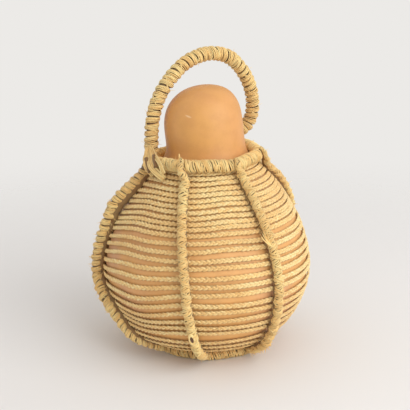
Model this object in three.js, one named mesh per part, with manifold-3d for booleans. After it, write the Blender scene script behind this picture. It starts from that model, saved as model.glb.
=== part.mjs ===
// A dried bottle gourd in its carrying basket of straw. The gourd stands upright on a wrapped
// straw ring. Plaited courses run round its belly, wrapped ribs climb over them from the base
// ring to the neck ring, and an arched handle is lashed to the neck ring at two of the ribs.
//
// Millimetres, +Z up. The front is -Y and the right is +X. Azimuths are in degrees about the
// gourd's axis, from the front towards the right. Each piece is first laid out round a straight
// axis, and settle() then gives them all the lean and the sag of the real one.

import * as THREE from "three";
import { mergeVertices } from "three/addons/utils/BufferGeometryUtils.js";
import Module from "manifold-3d";

const wasm = await Module();
wasm.setup();

// Driving dimensions
const CLEARANCE = 0.35; // between pieces that touch
const AZIMUTH_STEPS = 30; // shared by the gourd and the courses, so that their flats lie together

// The gourd's outline, as radius and height, from the blossom end up to the top of the neck.
const GOURD_OUTLINE = [
  [0, 7],
  [32, 8.5],
  [60, 15],
  [84, 24.5],
  [104, 38.5],
  [120, 57],
  [131.5, 80],
  [138.5, 104],
  [139.5, 128],
  [135, 153],
  [125, 181],
  [109, 208],
  [90, 235],
  [73, 255],
  [57.5, 269.5],
  [53, 283],
  [53, 302],
  [52, 324],
  [46, 343],
  [32, 358],
  [15, 364],
  [0, 365.5],
];
const GOURD_ROWS = 26;

// The lean and sag of the real thing.
const BASE_SHIFT = 4; // the base ring sits this far to the right of the belly
const BASE_SHIFT_FADES = [12, 55]; // heights between which that shift fades out
const NECK_SHIFT = -4.5; // the neck ring and the dome sit this far to the left of the belly
const RING_SHIFT_GROWS = [257, 273]; // heights over which the ring, the ribs and the handle shift
const GOURD_SHIFT_GROWS = [268, 325]; // heights over which the gourd's own neck shifts
const SHOULDER_TILT = { left: 2.2, front: 2 }; // degrees by which the neck ring is lower there
const SHOULDER_TILT_GROWS = [120, 270];
const FULLER_SIDE = { azimuth: -65, height: 38, reach: 17, out: 8 }; // the belly bulges low on the left

// The plaited courses.
const PLAIT_WIDTH = 7.3;
const PLAIT_THICKNESS = 4;
const PLAIT_ROOT = 0.92; // width of the flat against the skin, as a share of the whole width
const PLAIT_EDGE = 0.55; // height of the widest part, as a share of the thickness
const LOWEST_COURSE = [93.5, 30.6]; // radius and height of the lowest course on the skin
const COURSE_BANDS = [
  // from the lowest course up: wide apart under the belly, open over it, packed at the shoulder
  { courses: 3, pitch: 15.8 },
  { courses: 5, pitch: 11.9 },
  { courses: 7, pitch: 10.9 },
  { courses: 10, pitch: 7.7 },
];
const COURSE_WANDER = 0.22; // how far a course strays, as a share of the free gap beside it
const COURSE_PHASE = 2.4; // radians between the wanderings of one course and the next

// On the left the courses hang below level, by their own heights: in the panel left of the front
// left rib, and further down at the side. The sag comes and goes between two azimuths each.
const SAG_HEIGHTS = [30.6, 100, 125, 160, 215, 232, 262, 365.5];
const PANEL_SAG = { sags: [0, 16, 15, 3, 0, 0, 0, 0], comes: [8, 45] };
const SIDE_SAG = { sags: [0, 2, 8, 24, 24, 17, 0, 0], comes: [44, 96] };
const SAG_GOES = [100, 155];
const SAG_STEADIES = 0.5; // share of a course's wandering that it loses where it hangs

// The wrapped rings at the neck and at the base. Their corners are at the ribs.
const NECK_RING = { corner: 73.5, flat: 3, height: 273, thick: 7.8, sides: 8 };
const NECK_RING_LIFTS = [
  // azimuths, and how far the straw of the ring rides above its plane there
  [8, 1.2],
  [32, -1.5],
  [60, 0],
  [200, 0],
  [230, -4.5],
  [262, -4.5],
  [287, -1],
  [340, 2],
];
const BASE_RING = { corner: 74, flat: 2, height: 11.2, thick: 6.4, sides: 8 };
const RING_STEPS = 36;
const HOOP = 100; // radius of the plain circle that rings and courses are first laid out on

// The ribs: azimuths at the neck ring, at the belly and at the base ring, how late they swing
// towards the neck, and their radius. One may also stand off the courses below the shoulder by
// its bow, and thin to a tail towards its foot.
const PLAIN_RIB = { swing: 2, bow: 0, thick: 5.9, tail: 1, lashed: false };
const LEFT_RIB = { bow: 6.5, tail: 0.62 };
const RIBS = [
  { ...PLAIN_RIB, name: "rib_left", neck: -73, belly: -81, base: -35, thick: 6.8, lashed: true, ...LEFT_RIB },
  { ...PLAIN_RIB, name: "rib_front_left", neck: -23, belly: -9.6, base: -1.8 },
  { ...PLAIN_RIB, name: "rib_front_right", neck: 32, belly: 37.5, base: 42 },
  { ...PLAIN_RIB, name: "rib_right", neck: 76, belly: 124, base: 122, swing: 1.8 },
  { ...PLAIN_RIB, name: "rib_back_right", neck: 145, belly: 168, base: 165, lashed: true },
  { ...PLAIN_RIB, name: "rib_back_left", neck: 213, belly: 221, base: 225 },
];
const RIB_BEADS = 15; // swellings where the wrapping pulls the rib in between the courses
const RIB_BEAD_DEPTH = 0.07; // as a share of the radius
const RIB_SIDES = 7;
const RIB_FOOT = [86.5, 12]; // radius and height of a rib's centre beside the base ring
const RIB_TOP = [84, 265.5]; // and under the neck ring
const LASHED_RIB_TOP = [88, 262.5]; // and under a lashing of the handle
const RIB_TAPER = 0.06; // share of a rib's length over which each end thins
const RIB_TIP = 0.72;
const RIB_TAIL_GROWS = [0.1, 0.42]; // shares of its length over which a tail grows to full thickness
const RIB_FOOT_SHARE = 0.1; // share of a rib's length below its first station
const RIB_STRAIGHT = [110, 120]; // heights between which a rib stands straight
const RIB_BOW_HEIGHT = 213; // where the left rib stands off the courses
const RIB_BOW_REACH = 20;
const RIB_BOW_WAY = new THREE.Vector2(0.8, 0.6); // outwards and up
const RIB_STATIONS = 12; // points along the courses that a rib's line passes through
const RIB_MARGINS = [0.025, 0.012]; // shares of the outline left free at the line's two ends

// The handle: a round arch in the upright plane through two ribs, as shares of the span between
// its feet and heights.
const HANDLE_FEET = [-75, 142]; // azimuths at the neck ring
const HANDLE_LINE = [
  [0.02, 283.5],
  [0.022, 303],
  [0.042, 327],
  [0.132, 358],
  [0.326, 386.3],
  [0.485, 397.8],
  [0.69, 402],
  [0.908, 394],
  [1.055, 376],
  [1.157, 354],
  [1.205, 330],
  [1.198, 309],
  [1.14, 295.5],
  [1.03, 287.5],
];
const HANDLE_THICK = 9.3; // radius
const HANDLE_BEADS = 24;
const HANDLE_BEAD_DEPTH = 0.05;
const HANDLE_SIDES = 8;
const LASHING_TURNS = 4; // straw turns that bind a foot to the neck ring
const LASHING_CLEARANCE = 0.8; // round the ring, whose flats and bend it has to clear
const LASHING_WIDTH = 5; // of one turn, along the ring
const LASHING_THICK = 2.4;
const LASHING_SPACING = 4;
const LASHING_RISE = 1.6; // how much taller a turn is above the ring than below it

// Colours of the straw and of the gourd's skin.
const STRAW = new THREE.MeshStandardMaterial({ color: 0xdcb478, roughness: 0.85, metalness: 0 });
const SKIN = new THREE.MeshStandardMaterial({ color: 0xe0a463, roughness: 0.45, metalness: 0 });

const group = new THREE.Group();
const radians = THREE.MathUtils.degToRad;
const { smoothstep, lerp } = THREE.MathUtils;

const outline = new THREE.SplineCurve(GOURD_OUTLINE.map(([r, z]) => new THREE.Vector2(r, z)));
outline.arcLengthDivisions = 1000;

// A point given by radius, azimuth and height.
function around(radius, azimuth, height) {
  const a = radians(azimuth);
  return new THREE.Vector3(radius * Math.sin(a), -radius * Math.cos(a), height);
}

// Moves a point of the straight layout to where it lies on the leaning, sagging gourd.
function settle(point, neckShiftGrows = RING_SHIFT_GROWS) {
  const way = around(1, FULLER_SIDE.azimuth, 0);
  const facing = Math.max(0, (point.x * way.x + point.y * way.y) / Math.max(1, Math.hypot(point.x, point.y)));
  const fullness = Math.exp(-(((point.z - FULLER_SIDE.height) / FULLER_SIDE.reach) ** 2));
  const swell = 1 + (FULLER_SIDE.out * facing ** 2 * fullness) / Math.max(1, Math.hypot(point.x, point.y));
  const [x, y, z] = [point.x * swell, point.y * swell, point.z];
  const rise = x * Math.tan(radians(SHOULDER_TILT.left)) + y * Math.tan(radians(SHOULDER_TILT.front));
  const baseShift = BASE_SHIFT * (1 - smoothstep(z, ...BASE_SHIFT_FADES));
  const neckShift = NECK_SHIFT * smoothstep(z, ...neckShiftGrows);
  return new THREE.Vector3(x + baseShift + neckShift, y, z + rise * smoothstep(z, ...SHOULDER_TILT_GROWS));
}

// Closes a geometry's seams, then moves each vertex to where place() sends it.
function shaped(geometry, place) {
  for (const name of ["normal", "uv"]) geometry.deleteAttribute(name);
  const closed = mergeVertices(geometry);
  const position = closed.attributes.position;
  const vertex = new THREE.Vector3();
  for (let i = 0; i < position.count; i++) {
    vertex.fromBufferAttribute(position, i);
    position.setXYZ(i, ...place(vertex).toArray());
  }
  return closed;
}

function addPiece(name, geometry, material) {
  const mesh = new THREE.Mesh(geometry, material);
  mesh.name = name;
  group.add(mesh);
}

// Share of the gourd's outline, by length, at which it passes nearest to a radius and height.
function shareNear([radius, height]) {
  const target = new THREE.Vector2(radius, height);
  let best = 0;
  const samples = 2000;
  for (let i = 0; i <= samples; i++) {
    const nearer =
      outline.getPointAt(i / samples).distanceTo(target) <
      outline.getPointAt(best).distanceTo(target);
    if (nearer) best = i / samples;
  }
  return best;
}

// Radius and height of a point that stands proud of the skin and lies some way along it.
function offSkin(share, along, proud) {
  const tangent = outline.getTangentAt(share);
  const normal = new THREE.Vector2(tangent.y, -tangent.x);
  return outline.getPointAt(share).addScaledVector(tangent, along).addScaledVector(normal, proud);
}

// The gourd is one body: base, belly, shoulder and neck.
function addGourd() {
  const body = new THREE.LatheGeometry(outline.getSpacedPoints(GOURD_ROWS), AZIMUTH_STEPS);
  body.rotateX(Math.PI / 2);
  addPiece("gourd", shaped(body, (vertex) => settle(vertex, GOURD_SHIFT_GROWS)), SKIN);
}

// Shares of the outline at which the courses lie, with the free gap above each.
function courseSpots() {
  const length = outline.getLength();
  const spots = [];
  let share = shareNear(LOWEST_COURSE);
  for (const band of COURSE_BANDS) {
    for (let i = 0; i < band.courses; i++) {
      spots.push({ share, freeGap: band.pitch - PLAIT_WIDTH });
      share += band.pitch / length;
    }
  }
  spots.push({ share, freeGap: 0 });
  return spots;
}

// How far a course hangs below level at an azimuth left of the front, and how freely it wanders there.
function sagOf(share, azimuth) {
  const height = outline.getPointAt(share).y;
  const after = Math.max(1, SAG_HEIGHTS.findIndex((stop) => stop >= height));
  const between = (height - SAG_HEIGHTS[after - 1]) / (SAG_HEIGHTS[after] - SAG_HEIGHTS[after - 1]);
  const left = (360 - azimuth) % 360;
  const stays = 1 - smoothstep(left, ...SAG_GOES);
  const come = (comes) => smoothstep(left, ...comes) * stays;
  const held = ({ sags, comes }) => lerp(sags[after - 1], sags[after], between) * come(comes);
  return { sag: held(PANEL_SAG) + held(SIDE_SAG), freedom: 1 - SAG_STEADIES * come(PANEL_SAG.comes) };
}

// A plaited course: a hoop of flat, crowned section that lies on the skin all the way round. The
// hoop is laid out about a plain circle, and each vertex then goes to its place on the gourd.
function addCourse(name, share, freeGap, phase) {
  const half = PLAIT_WIDTH / 2;
  const section = [
    [-half * PLAIT_ROOT, 0],
    [-half, PLAIT_THICKNESS * PLAIT_EDGE],
    [0, PLAIT_THICKNESS],
    [half, PLAIT_THICKNESS * PLAIT_EDGE],
    [half * PLAIT_ROOT, 0],
    [-half * PLAIT_ROOT, 0],
  ];
  const profile = section.map(([along, proud]) => new THREE.Vector2(HOOP + proud, along));
  const hoop = new THREE.LatheGeometry(profile, AZIMUTH_STEPS);
  const place = (vertex) => {
    const angle = Math.atan2(vertex.x, vertex.z);
    const proud = Math.hypot(vertex.x, vertex.z) - HOOP;
    const azimuth = THREE.MathUtils.radToDeg(angle);
    const { sag, freedom } = sagOf(share, azimuth);
    const wander = COURSE_WANDER * freeGap * freedom * Math.sin(2 * angle + phase);
    const spot = offSkin(share - sag / outline.getLength(), vertex.y + wander, CLEARANCE + proud);
    return settle(around(spot.x, azimuth, spot.y), GOURD_SHIFT_GROWS);
  };
  addPiece(name, shaped(hoop, place), STRAW);
}

function addCourses() {
  courseSpots().forEach(({ share, freeGap }, i) => {
    addCourse(`course_${String(i + 1).padStart(2, "0")}`, share, freeGap, i * COURSE_PHASE);
  });
}

// Radius of a ring's centreline: widest at the ribs and nearly straight between them.
function ringRadius(ring, azimuth, corners) {
  const sorted = corners.map((c) => THREE.MathUtils.euclideanModulo(c, 360)).sort((a, b) => a - b);
  const a = THREE.MathUtils.euclideanModulo(azimuth, 360);
  let after = sorted.findIndex((c) => c > a);
  if (after < 0) after = 0;
  const next = sorted[after];
  const previous = sorted[(after + sorted.length - 1) % sorted.length];
  const span = THREE.MathUtils.euclideanModulo(next - previous, 360);
  const share = THREE.MathUtils.euclideanModulo(a - previous, 360) / span;
  return ring.corner - ring.flat * Math.sin(Math.PI * share) ** 2;
}

// How far the neck ring rides above its plane at an azimuth, eased from one stated azimuth to the next.
function ringLift(azimuth) {
  const a = THREE.MathUtils.euclideanModulo(azimuth, 360);
  const count = NECK_RING_LIFTS.length;
  const after = NECK_RING_LIFTS.findIndex(([at]) => at > a);
  const [nextAt, nextLift] = NECK_RING_LIFTS[Math.max(after, 0)];
  const [previousAt, previousLift] = NECK_RING_LIFTS[(Math.max(after, 0) + count - 1) % count];
  const span = THREE.MathUtils.euclideanModulo(nextAt - previousAt, 360);
  const share = THREE.MathUtils.euclideanModulo(a - previousAt, 360) / span;
  return lerp(previousLift, nextLift, (1 - Math.cos(Math.PI * share)) / 2);
}

// A wrapped ring of round section. An eight-sided section stands on one of its flats.
function addRing(name, ring, corners, lift) {
  const profile = [];
  for (let i = 0; i <= ring.sides; i++) {
    const a = ((i % ring.sides) + 0.5) * ((2 * Math.PI) / ring.sides);
    profile.push(new THREE.Vector2(HOOP + ring.thick * Math.cos(a), ring.thick * Math.sin(a)));
  }
  const hoop = new THREE.LatheGeometry(profile, RING_STEPS);
  const place = (vertex) => {
    const azimuth = THREE.MathUtils.radToDeg(Math.atan2(vertex.x, vertex.z));
    const out = Math.hypot(vertex.x, vertex.z) - HOOP;
    const radius = ringRadius(ring, azimuth, corners) + out;
    return settle(around(radius, azimuth, ring.height + lift(azimuth) + vertex.y));
  };
  addPiece(name, shaped(hoop, place), STRAW);
}

// A round rod bent along a line. place(share, side, out) gives the point that lies the stated
// distances to the side of and outwards from the line at a share of its length.
function bentRod(thickness, sides, steps, place) {
  const rod = new THREE.CylinderGeometry(1, 1, 1, sides, steps);
  return shaped(rod, (vertex) => {
    const share = vertex.y + 0.5;
    const thick = thickness(share);
    return place(share, vertex.x * thick, vertex.z * thick);
  });
}

// A rib runs nearly straight up the belly and swings aside towards the rings.
function ribAzimuth(rib, height) {
  const toBase = THREE.MathUtils.clamp((RIB_STRAIGHT[0] - height) / RIB_STRAIGHT[0], 0, 1);
  const rise = NECK_RING.height - RIB_STRAIGHT[1];
  const toNeck = THREE.MathUtils.clamp((height - RIB_STRAIGHT[1]) / rise, 0, 1);
  return lerp(lerp(rib.belly, rib.base, toBase), rib.neck, toNeck ** rib.swing);
}

// A rib climbs from the outer side of the base ring, over the courses, and its end is tucked in
// under the neck ring.
function addRib(rib) {
  const radius = (share) => rib.thick * lerp(rib.tail, 1, smoothstep(share, ...RIB_TAIL_GROWS));
  const flush = 2 * CLEARANCE + PLAIT_THICKNESS;
  const first = shareNear(LOWEST_COURSE) + RIB_MARGINS[0];
  const last = courseSpots().at(-1).share - RIB_MARGINS[1];
  const line = [new THREE.Vector2(...RIB_FOOT)];
  for (let i = 0; i <= RIB_STATIONS; i++) {
    const along = i / RIB_STATIONS;
    const standOff = flush + radius(lerp(RIB_FOOT_SHARE, 1, along)) * (1 + RIB_BEAD_DEPTH);
    const spot = offSkin(lerp(first, last, along), 0, standOff);
    const bow = rib.bow * Math.exp(-(((spot.y - RIB_BOW_HEIGHT) / RIB_BOW_REACH) ** 2));
    line.push(spot.addScaledVector(RIB_BOW_WAY, bow));
  }
  const [topRadius, topHeight] = rib.lashed ? LASHED_RIB_TOP : RIB_TOP;
  line.push(new THREE.Vector2(topRadius, topHeight + ringLift(rib.neck)));
  const path = new THREE.SplineCurve(line);
  path.arcLengthDivisions = 600;
  const thickness = (share) => {
    const bead = RIB_BEAD_DEPTH * Math.cos(2 * Math.PI * RIB_BEADS * share);
    return radius(share) * (1 - bead) * lerp(RIB_TIP, 1, smoothstep(Math.min(share, 1 - share), 0, RIB_TAPER));
  };
  const place = (share, side, out) => {
    const tangent = path.getTangentAt(share);
    const spot = path.getPointAt(share).addScaledVector(new THREE.Vector2(tangent.y, -tangent.x), out);
    const azimuth = ribAzimuth(rib, spot.y);
    const sideways = around(side, azimuth + 90, 0);
    return settle(around(spot.x, azimuth, spot.y).add(sideways));
  };
  addPiece(rib.name, bentRod(thickness, RIB_SIDES, 2 * RIB_BEADS, place), STRAW);
}

// A closed mesh as a solid, for joining, and back.
function toSolid(geometry) {
  return new wasm.Manifold(
    new wasm.Mesh({
      numProp: 3,
      vertProperties: new Float32Array(geometry.attributes.position.array),
      triVerts: new Uint32Array(geometry.index.array),
    }),
  );
}

function toGeometry(solid) {
  const mesh = solid.getMesh();
  return new THREE.BufferGeometry()
    .setAttribute("position", new THREE.BufferAttribute(mesh.vertProperties, 3))
    .setIndex(new THREE.BufferAttribute(mesh.triVerts, 1));
}

// The turns of straw that bind a foot of the handle round the neck ring.
function lashing(azimuth, corners) {
  const loopRadius = NECK_RING.thick + LASHING_CLEARANCE + LASHING_THICK / 2;
  const turns = [];
  for (let i = 0; i < LASHING_TURNS; i++) {
    const along = (i - (LASHING_TURNS - 1) / 2) * LASHING_SPACING;
    const at = azimuth + THREE.MathUtils.radToDeg(along / NECK_RING.corner);
    const radius = ringRadius(NECK_RING, at, corners);
    const loop = new THREE.TorusGeometry(loopRadius, LASHING_WIDTH / 2, 6, 12);
    const place = (vertex) => {
      const out = Math.hypot(vertex.x, vertex.y);
      const flattened = 1 + ((out - loopRadius) * (LASHING_THICK / LASHING_WIDTH - 1)) / out;
      const rise = flattened * vertex.y * (vertex.y > 0 ? LASHING_RISE : 1);
      const spot = around(radius + flattened * vertex.x, at, NECK_RING.height + ringLift(at) + rise);
      return settle(spot.add(around(vertex.z, at - 90, 0)));
    };
    turns.push(toSolid(shaped(loop, place)));
  }
  return turns.reduce((joined, turn) => joined.add(turn));
}

// The handle is a stiff wrapped bundle. Its wrapping runs on round the neck ring at both feet, so
// the arch and its lashings are one piece.
function addHandle(corners) {
  const [start, end] = HANDLE_FEET.map((azimuth) => around(NECK_RING.corner, azimuth, 0));
  const span = end.clone().sub(start);
  const acrossPlane = new THREE.Vector3(-span.y, span.x, 0).normalize();
  const line = new THREE.CatmullRomCurve3(
    HANDLE_LINE.map(([share, height]) => start.clone().addScaledVector(span, share).setZ(height)),
  );
  line.arcLengthDivisions = 800;
  const thickness = (share) =>
    HANDLE_THICK * (1 - HANDLE_BEAD_DEPTH * Math.cos(2 * Math.PI * HANDLE_BEADS * share));
  const place = (share, side, out) => {
    const outwards = line.getTangentAt(share).cross(acrossPlane).normalize();
    const spot = line.getPointAt(share);
    return settle(spot.addScaledVector(acrossPlane, -side).addScaledVector(outwards, out));
  };
  const arch = toSolid(bentRod(thickness, HANDLE_SIDES, 2 * HANDLE_BEADS, place));
  const whole = HANDLE_FEET.reduce((joined, azimuth) => joined.add(lashing(azimuth, corners)), arch);
  addPiece("handle", toGeometry(whole), STRAW);
}

addGourd();
addCourses();
addRing("base_ring", BASE_RING, RIBS.map((rib) => rib.base), () => 0);
const neckCorners = RIBS.map((rib) => rib.neck);
addRing("neck_ring", NECK_RING, neckCorners, ringLift);
for (const rib of RIBS) addRib(rib);
addHandle(neckCorners);

// The origin is on the ground under the middle of the whole.
const box = new THREE.Box3().setFromObject(group);
const middle = box.getCenter(new THREE.Vector3());
group.position.set(-middle.x, -middle.y, -box.min.z);

export default group;
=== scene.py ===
"""Looks of a dried bottle gourd that stands in a carrying basket of straw.

The gourd is one smooth dried fruit. Flat plaits of three straw strands run round it, wrapped ribs
hold them between a base ring and a neck ring, and an arched, wrapped handle is lashed to the neck
ring. Lengths are in metres. The front is -Y, and azimuths turn from the front towards the right.
"""

import logging
import math
from collections.abc import Callable, Sequence
from dataclasses import dataclass, field
from enum import Enum

import bpy
import numpy as np
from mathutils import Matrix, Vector

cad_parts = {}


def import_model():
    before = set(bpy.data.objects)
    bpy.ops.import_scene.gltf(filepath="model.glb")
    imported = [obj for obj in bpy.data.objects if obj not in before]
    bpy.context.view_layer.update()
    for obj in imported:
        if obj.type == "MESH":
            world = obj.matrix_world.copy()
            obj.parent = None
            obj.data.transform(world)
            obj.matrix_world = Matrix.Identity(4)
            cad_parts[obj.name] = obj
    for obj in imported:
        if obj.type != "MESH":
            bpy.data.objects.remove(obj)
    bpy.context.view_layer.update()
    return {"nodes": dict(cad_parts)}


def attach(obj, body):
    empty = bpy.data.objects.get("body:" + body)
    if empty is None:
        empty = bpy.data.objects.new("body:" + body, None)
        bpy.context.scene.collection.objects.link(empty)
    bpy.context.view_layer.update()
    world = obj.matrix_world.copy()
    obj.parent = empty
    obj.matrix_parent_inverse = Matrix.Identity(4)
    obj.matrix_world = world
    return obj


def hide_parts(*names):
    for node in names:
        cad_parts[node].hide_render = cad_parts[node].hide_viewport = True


log = logging.getLogger("gourd_basket")

ROOT = "root"
TURN = 2 * math.pi
MERGE = 1e-6  # distance under which vertices of one seam are the same point
CORE_PAINTED_SHADE = 0.85  # painted shade on a bundle's core, which shows dark between its wrappings
BACKING_WIDENS = 1.75  # how much wider a core is on the side that it lies on, where its dark core shows as a strip of painted shadow
GRAIN = (90, 9, 3.7)  # how often a streak comes: a metre along, a turn round, a straw on
TONES = (14, 0.4, 5.3)  # the same for a change of tone
SPECKS = (420, 14, 7.1)  # and for a speck
NECK_RING_LIFTS = (  # azimuths, and how far the neck ring rides above its plane there
    (8, 0.0012), (32, -0.0015), (60, 0.0), (190, 0.0),
    (222, -0.0085), (256, -0.0065), (287, -0.0010), (340, 0.0020),
)  # fmt: skip


class Slot(Enum):
    """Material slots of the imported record."""

    SKIN = "gourd_skin"
    STRAW = "straw"


class Hand(Enum):
    """Which way a wrapping winds as it goes along its core."""

    RIGHT = 1
    LEFT = -1


def linear(red: int, green: int, blue: int) -> tuple[float, float, float, float]:
    """Turn a colour of 0 to 255 a channel into the linear values that shaders take.

    Args:
        red: Red channel.
        green: Green channel.
        blue: Blue channel.

    Returns:
        Linear red, green, blue and an alpha of one.
    """
    share = np.array([red, green, blue]) / 255
    value = np.where(share <= 0.04045, share / 12.92, ((share + 0.055) / 1.055) ** 2.4)
    return (*(float(v) for v in value), 1.0)


def smoothstep(value: np.ndarray, low: float, high: float) -> np.ndarray:
    """Ease from zero at low to one at high.

    Args:
        value: Values to ease.
        low: Where the result starts to rise.
        high: Where it reaches one.

    Returns:
        The eased values.
    """
    t = np.clip((value - low) / (high - low), 0, 1)
    return t * t * (3 - 2 * t)


def around(radius: np.ndarray, azimuth: np.ndarray, height: np.ndarray) -> np.ndarray:
    """Place points by radius, azimuth in radians and height.

    Args:
        radius: Distances from the axis.
        azimuth: Angles from the front towards the right, in radians.
        height: Heights.

    Returns:
        The points, one a row.
    """
    radius, azimuth, height = np.broadcast_arrays(radius, azimuth, height)
    return np.column_stack((radius * np.sin(azimuth), -radius * np.cos(azimuth), height))


def smooth_line(knots: Sequence, ease: float, doubled_ends: bool, per_span: int = 40) -> np.ndarray:
    """Draw a smooth line through knots.

    Args:
        knots: Points that the line passes through, of two or three coordinates.
        ease: Power of the spacing that sets the pace, 0 for an even pace and 0.5 for a taut line.
        doubled_ends: Whether the end knots count twice, and are not carried on straight.
        per_span: Points between one knot and the next.

    Returns:
        The points of the line, one a row.
    """
    knots = np.asarray(knots, float)
    first = knots[0] if doubled_ends else 2 * knots[0] - knots[1]
    last = knots[-1] if doubled_ends else 2 * knots[-1] - knots[-2]
    points = np.vstack((first, knots, last))
    t = np.linspace(0, 1, per_span, endpoint=False)[:, None]
    spans = []
    for p0, p1, p2, p3 in zip(points, points[1:], points[2:], points[3:]):
        d0, d1, d2 = (np.linalg.norm(b - a) ** ease for a, b in ((p0, p1), (p1, p2), (p2, p3)))
        m1 = ((p1 - p0) / d0 - (p2 - p0) / (d0 + d1) + (p2 - p1) / d1) * d1
        m2 = ((p2 - p1) / d1 - (p3 - p1) / (d1 + d2) + (p3 - p2) / d2) * d1
        cube = 2 * p1 - 2 * p2 + m1 + m2
        square = -3 * p1 + 3 * p2 - 2 * m1 - m2
        spans.append(cube * t**3 + square * t**2 + m1 * t + p1)
    return np.vstack((*spans, knots[-1:]))


def lengths_along(points: np.ndarray) -> np.ndarray:
    """Length of a line up to each of its points.

    Args:
        points: Points of the line, one a row.

    Returns:
        The length from the first point to each point.
    """
    return np.concatenate(([0], np.cumsum(np.linalg.norm(np.diff(points, axis=0), axis=1))))


class Waver:
    """A smooth, uneven swing, made of a few seeded waves. Whole waves repeat after a full turn."""

    def __init__(self, seed: int, waves: Sequence[float]) -> None:
        """Draw the waves.

        Args:
            seed: Seed of the random draw.
            waves: How many times each wave swings in one turn.
        """
        draw = np.random.default_rng(seed)
        self.waves = np.array(waves, float)
        self.phases = draw.uniform(0, TURN, len(waves))
        self.sizes = draw.uniform(0.5, 1, len(waves))
        self.sizes /= self.sizes.sum()

    def __call__(self, angle: np.ndarray) -> np.ndarray:
        """Value of the swing, from about -1 to 1, at angles in radians."""
        return (np.sin(np.multiply.outer(angle, self.waves) + self.phases) * self.sizes).sum(-1)


@dataclass(frozen=True)
class Layout:
    """The straight layout that every piece is drawn in, and the lean and sag of the real one."""

    origin: Vector
    base_shift: float = 0.004
    base_shift_fades: tuple[float, float] = (0.012, 0.055)
    neck_shift: float = -0.0045
    ring_shift_grows: tuple[float, float] = (0.257, 0.273)
    gourd_shift_grows: tuple[float, float] = (0.268, 0.325)
    tilt_left: float = 2.2
    tilt_front: float = 2.0
    tilt_grows: tuple[float, float] = (0.120, 0.270)
    fuller_azimuth: float = -65.0
    fuller_height: float = 0.038
    fuller_reach: float = 0.017
    fuller_out: float = 0.008
    dome_lean: float = 0.05
    dome_lean_grows: tuple[float, float] = (0.325, 0.362)

    @classmethod
    def of_frame(cls, gourd: bpy.types.Object) -> "Layout":
        """Find the layout's origin from the gourd's blossom end, its lowest point.

        Args:
            gourd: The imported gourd.

        Returns:
            The layout.
        """
        lowest = min((v.co for v in gourd.data.vertices), key=lambda co: co.z)
        return cls(lowest - Vector((cls.base_shift, 0, GourdSkin.outline_knots[0][1])))

    def settle(self, points: np.ndarray, on_gourd: bool = False) -> np.ndarray:
        """Move points of the straight layout to where they lie on the leaning, sagging gourd.

        Args:
            points: Points of the straight layout, one a row.
            on_gourd: Whether they follow the gourd's own neck, and not the ring round it.

        Returns:
            The points in the frame.
        """
        x, y, z = points.T
        way_x, way_y, _ = around(1, math.radians(self.fuller_azimuth), 0)[0]
        radius = np.maximum(0.001, np.hypot(x, y))
        facing = np.maximum(0, (x * way_x + y * way_y) / radius)
        fullness = np.exp(-(((z - self.fuller_height) / self.fuller_reach) ** 2))
        swell = 1 + self.fuller_out * facing**2 * fullness / radius
        x, y = x * swell, y * swell
        rise = x * math.tan(math.radians(self.tilt_left)) + y * math.tan(math.radians(self.tilt_front))
        grows = self.gourd_shift_grows if on_gourd else self.ring_shift_grows
        base = self.base_shift * (1 - smoothstep(z, *self.base_shift_fades))
        neck = self.neck_shift * smoothstep(z, *grows)
        up = z + rise * smoothstep(z, *self.tilt_grows)
        if on_gourd:
            up = up + self.dome_lean * x * smoothstep(z, *self.dome_lean_grows)
        return np.column_stack((x + base + neck, y, up)) + np.array(self.origin)


class Outline:
    """The gourd's outline, as radius and height, from the blossom end up to the top."""

    def __init__(self, knots: Sequence[tuple[float, float]]) -> None:
        """Draw the outline.

        Args:
            knots: Radius and height of the points that it passes through.
        """
        self.points = smooth_line(knots, 0, True)
        self.lengths = lengths_along(self.points)
        self.length = float(self.lengths[-1])
        self.tangents = np.gradient(self.points, self.lengths, axis=0)

    def off_skin(self, share: np.ndarray, along: np.ndarray, proud: np.ndarray) -> tuple:
        """Radius and height of points that stand proud of the skin.

        Args:
            share: Share of the outline's length.
            along: Distance along the skin from there.
            proud: Distance off the skin.

        Returns:
            Their radii and heights.
        """
        at = np.asarray(share) * self.length
        r, z = (np.interp(at, self.lengths, self.points[:, i]) for i in (0, 1))
        tr, tz = (np.interp(at, self.lengths, self.tangents[:, i]) for i in (0, 1))
        size = np.hypot(tr, tz)
        tr, tz = tr / size, tz / size
        return r + along * tr + proud * tz, z + along * tz - proud * tr

    def share_near(self, radius: float, height: float) -> float:
        """Share of the outline's length at which it passes nearest to a radius and height."""
        nearest = np.argmin(np.hypot(self.points[:, 0] - radius, self.points[:, 1] - height))
        return float(self.lengths[nearest] / self.length)


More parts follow.
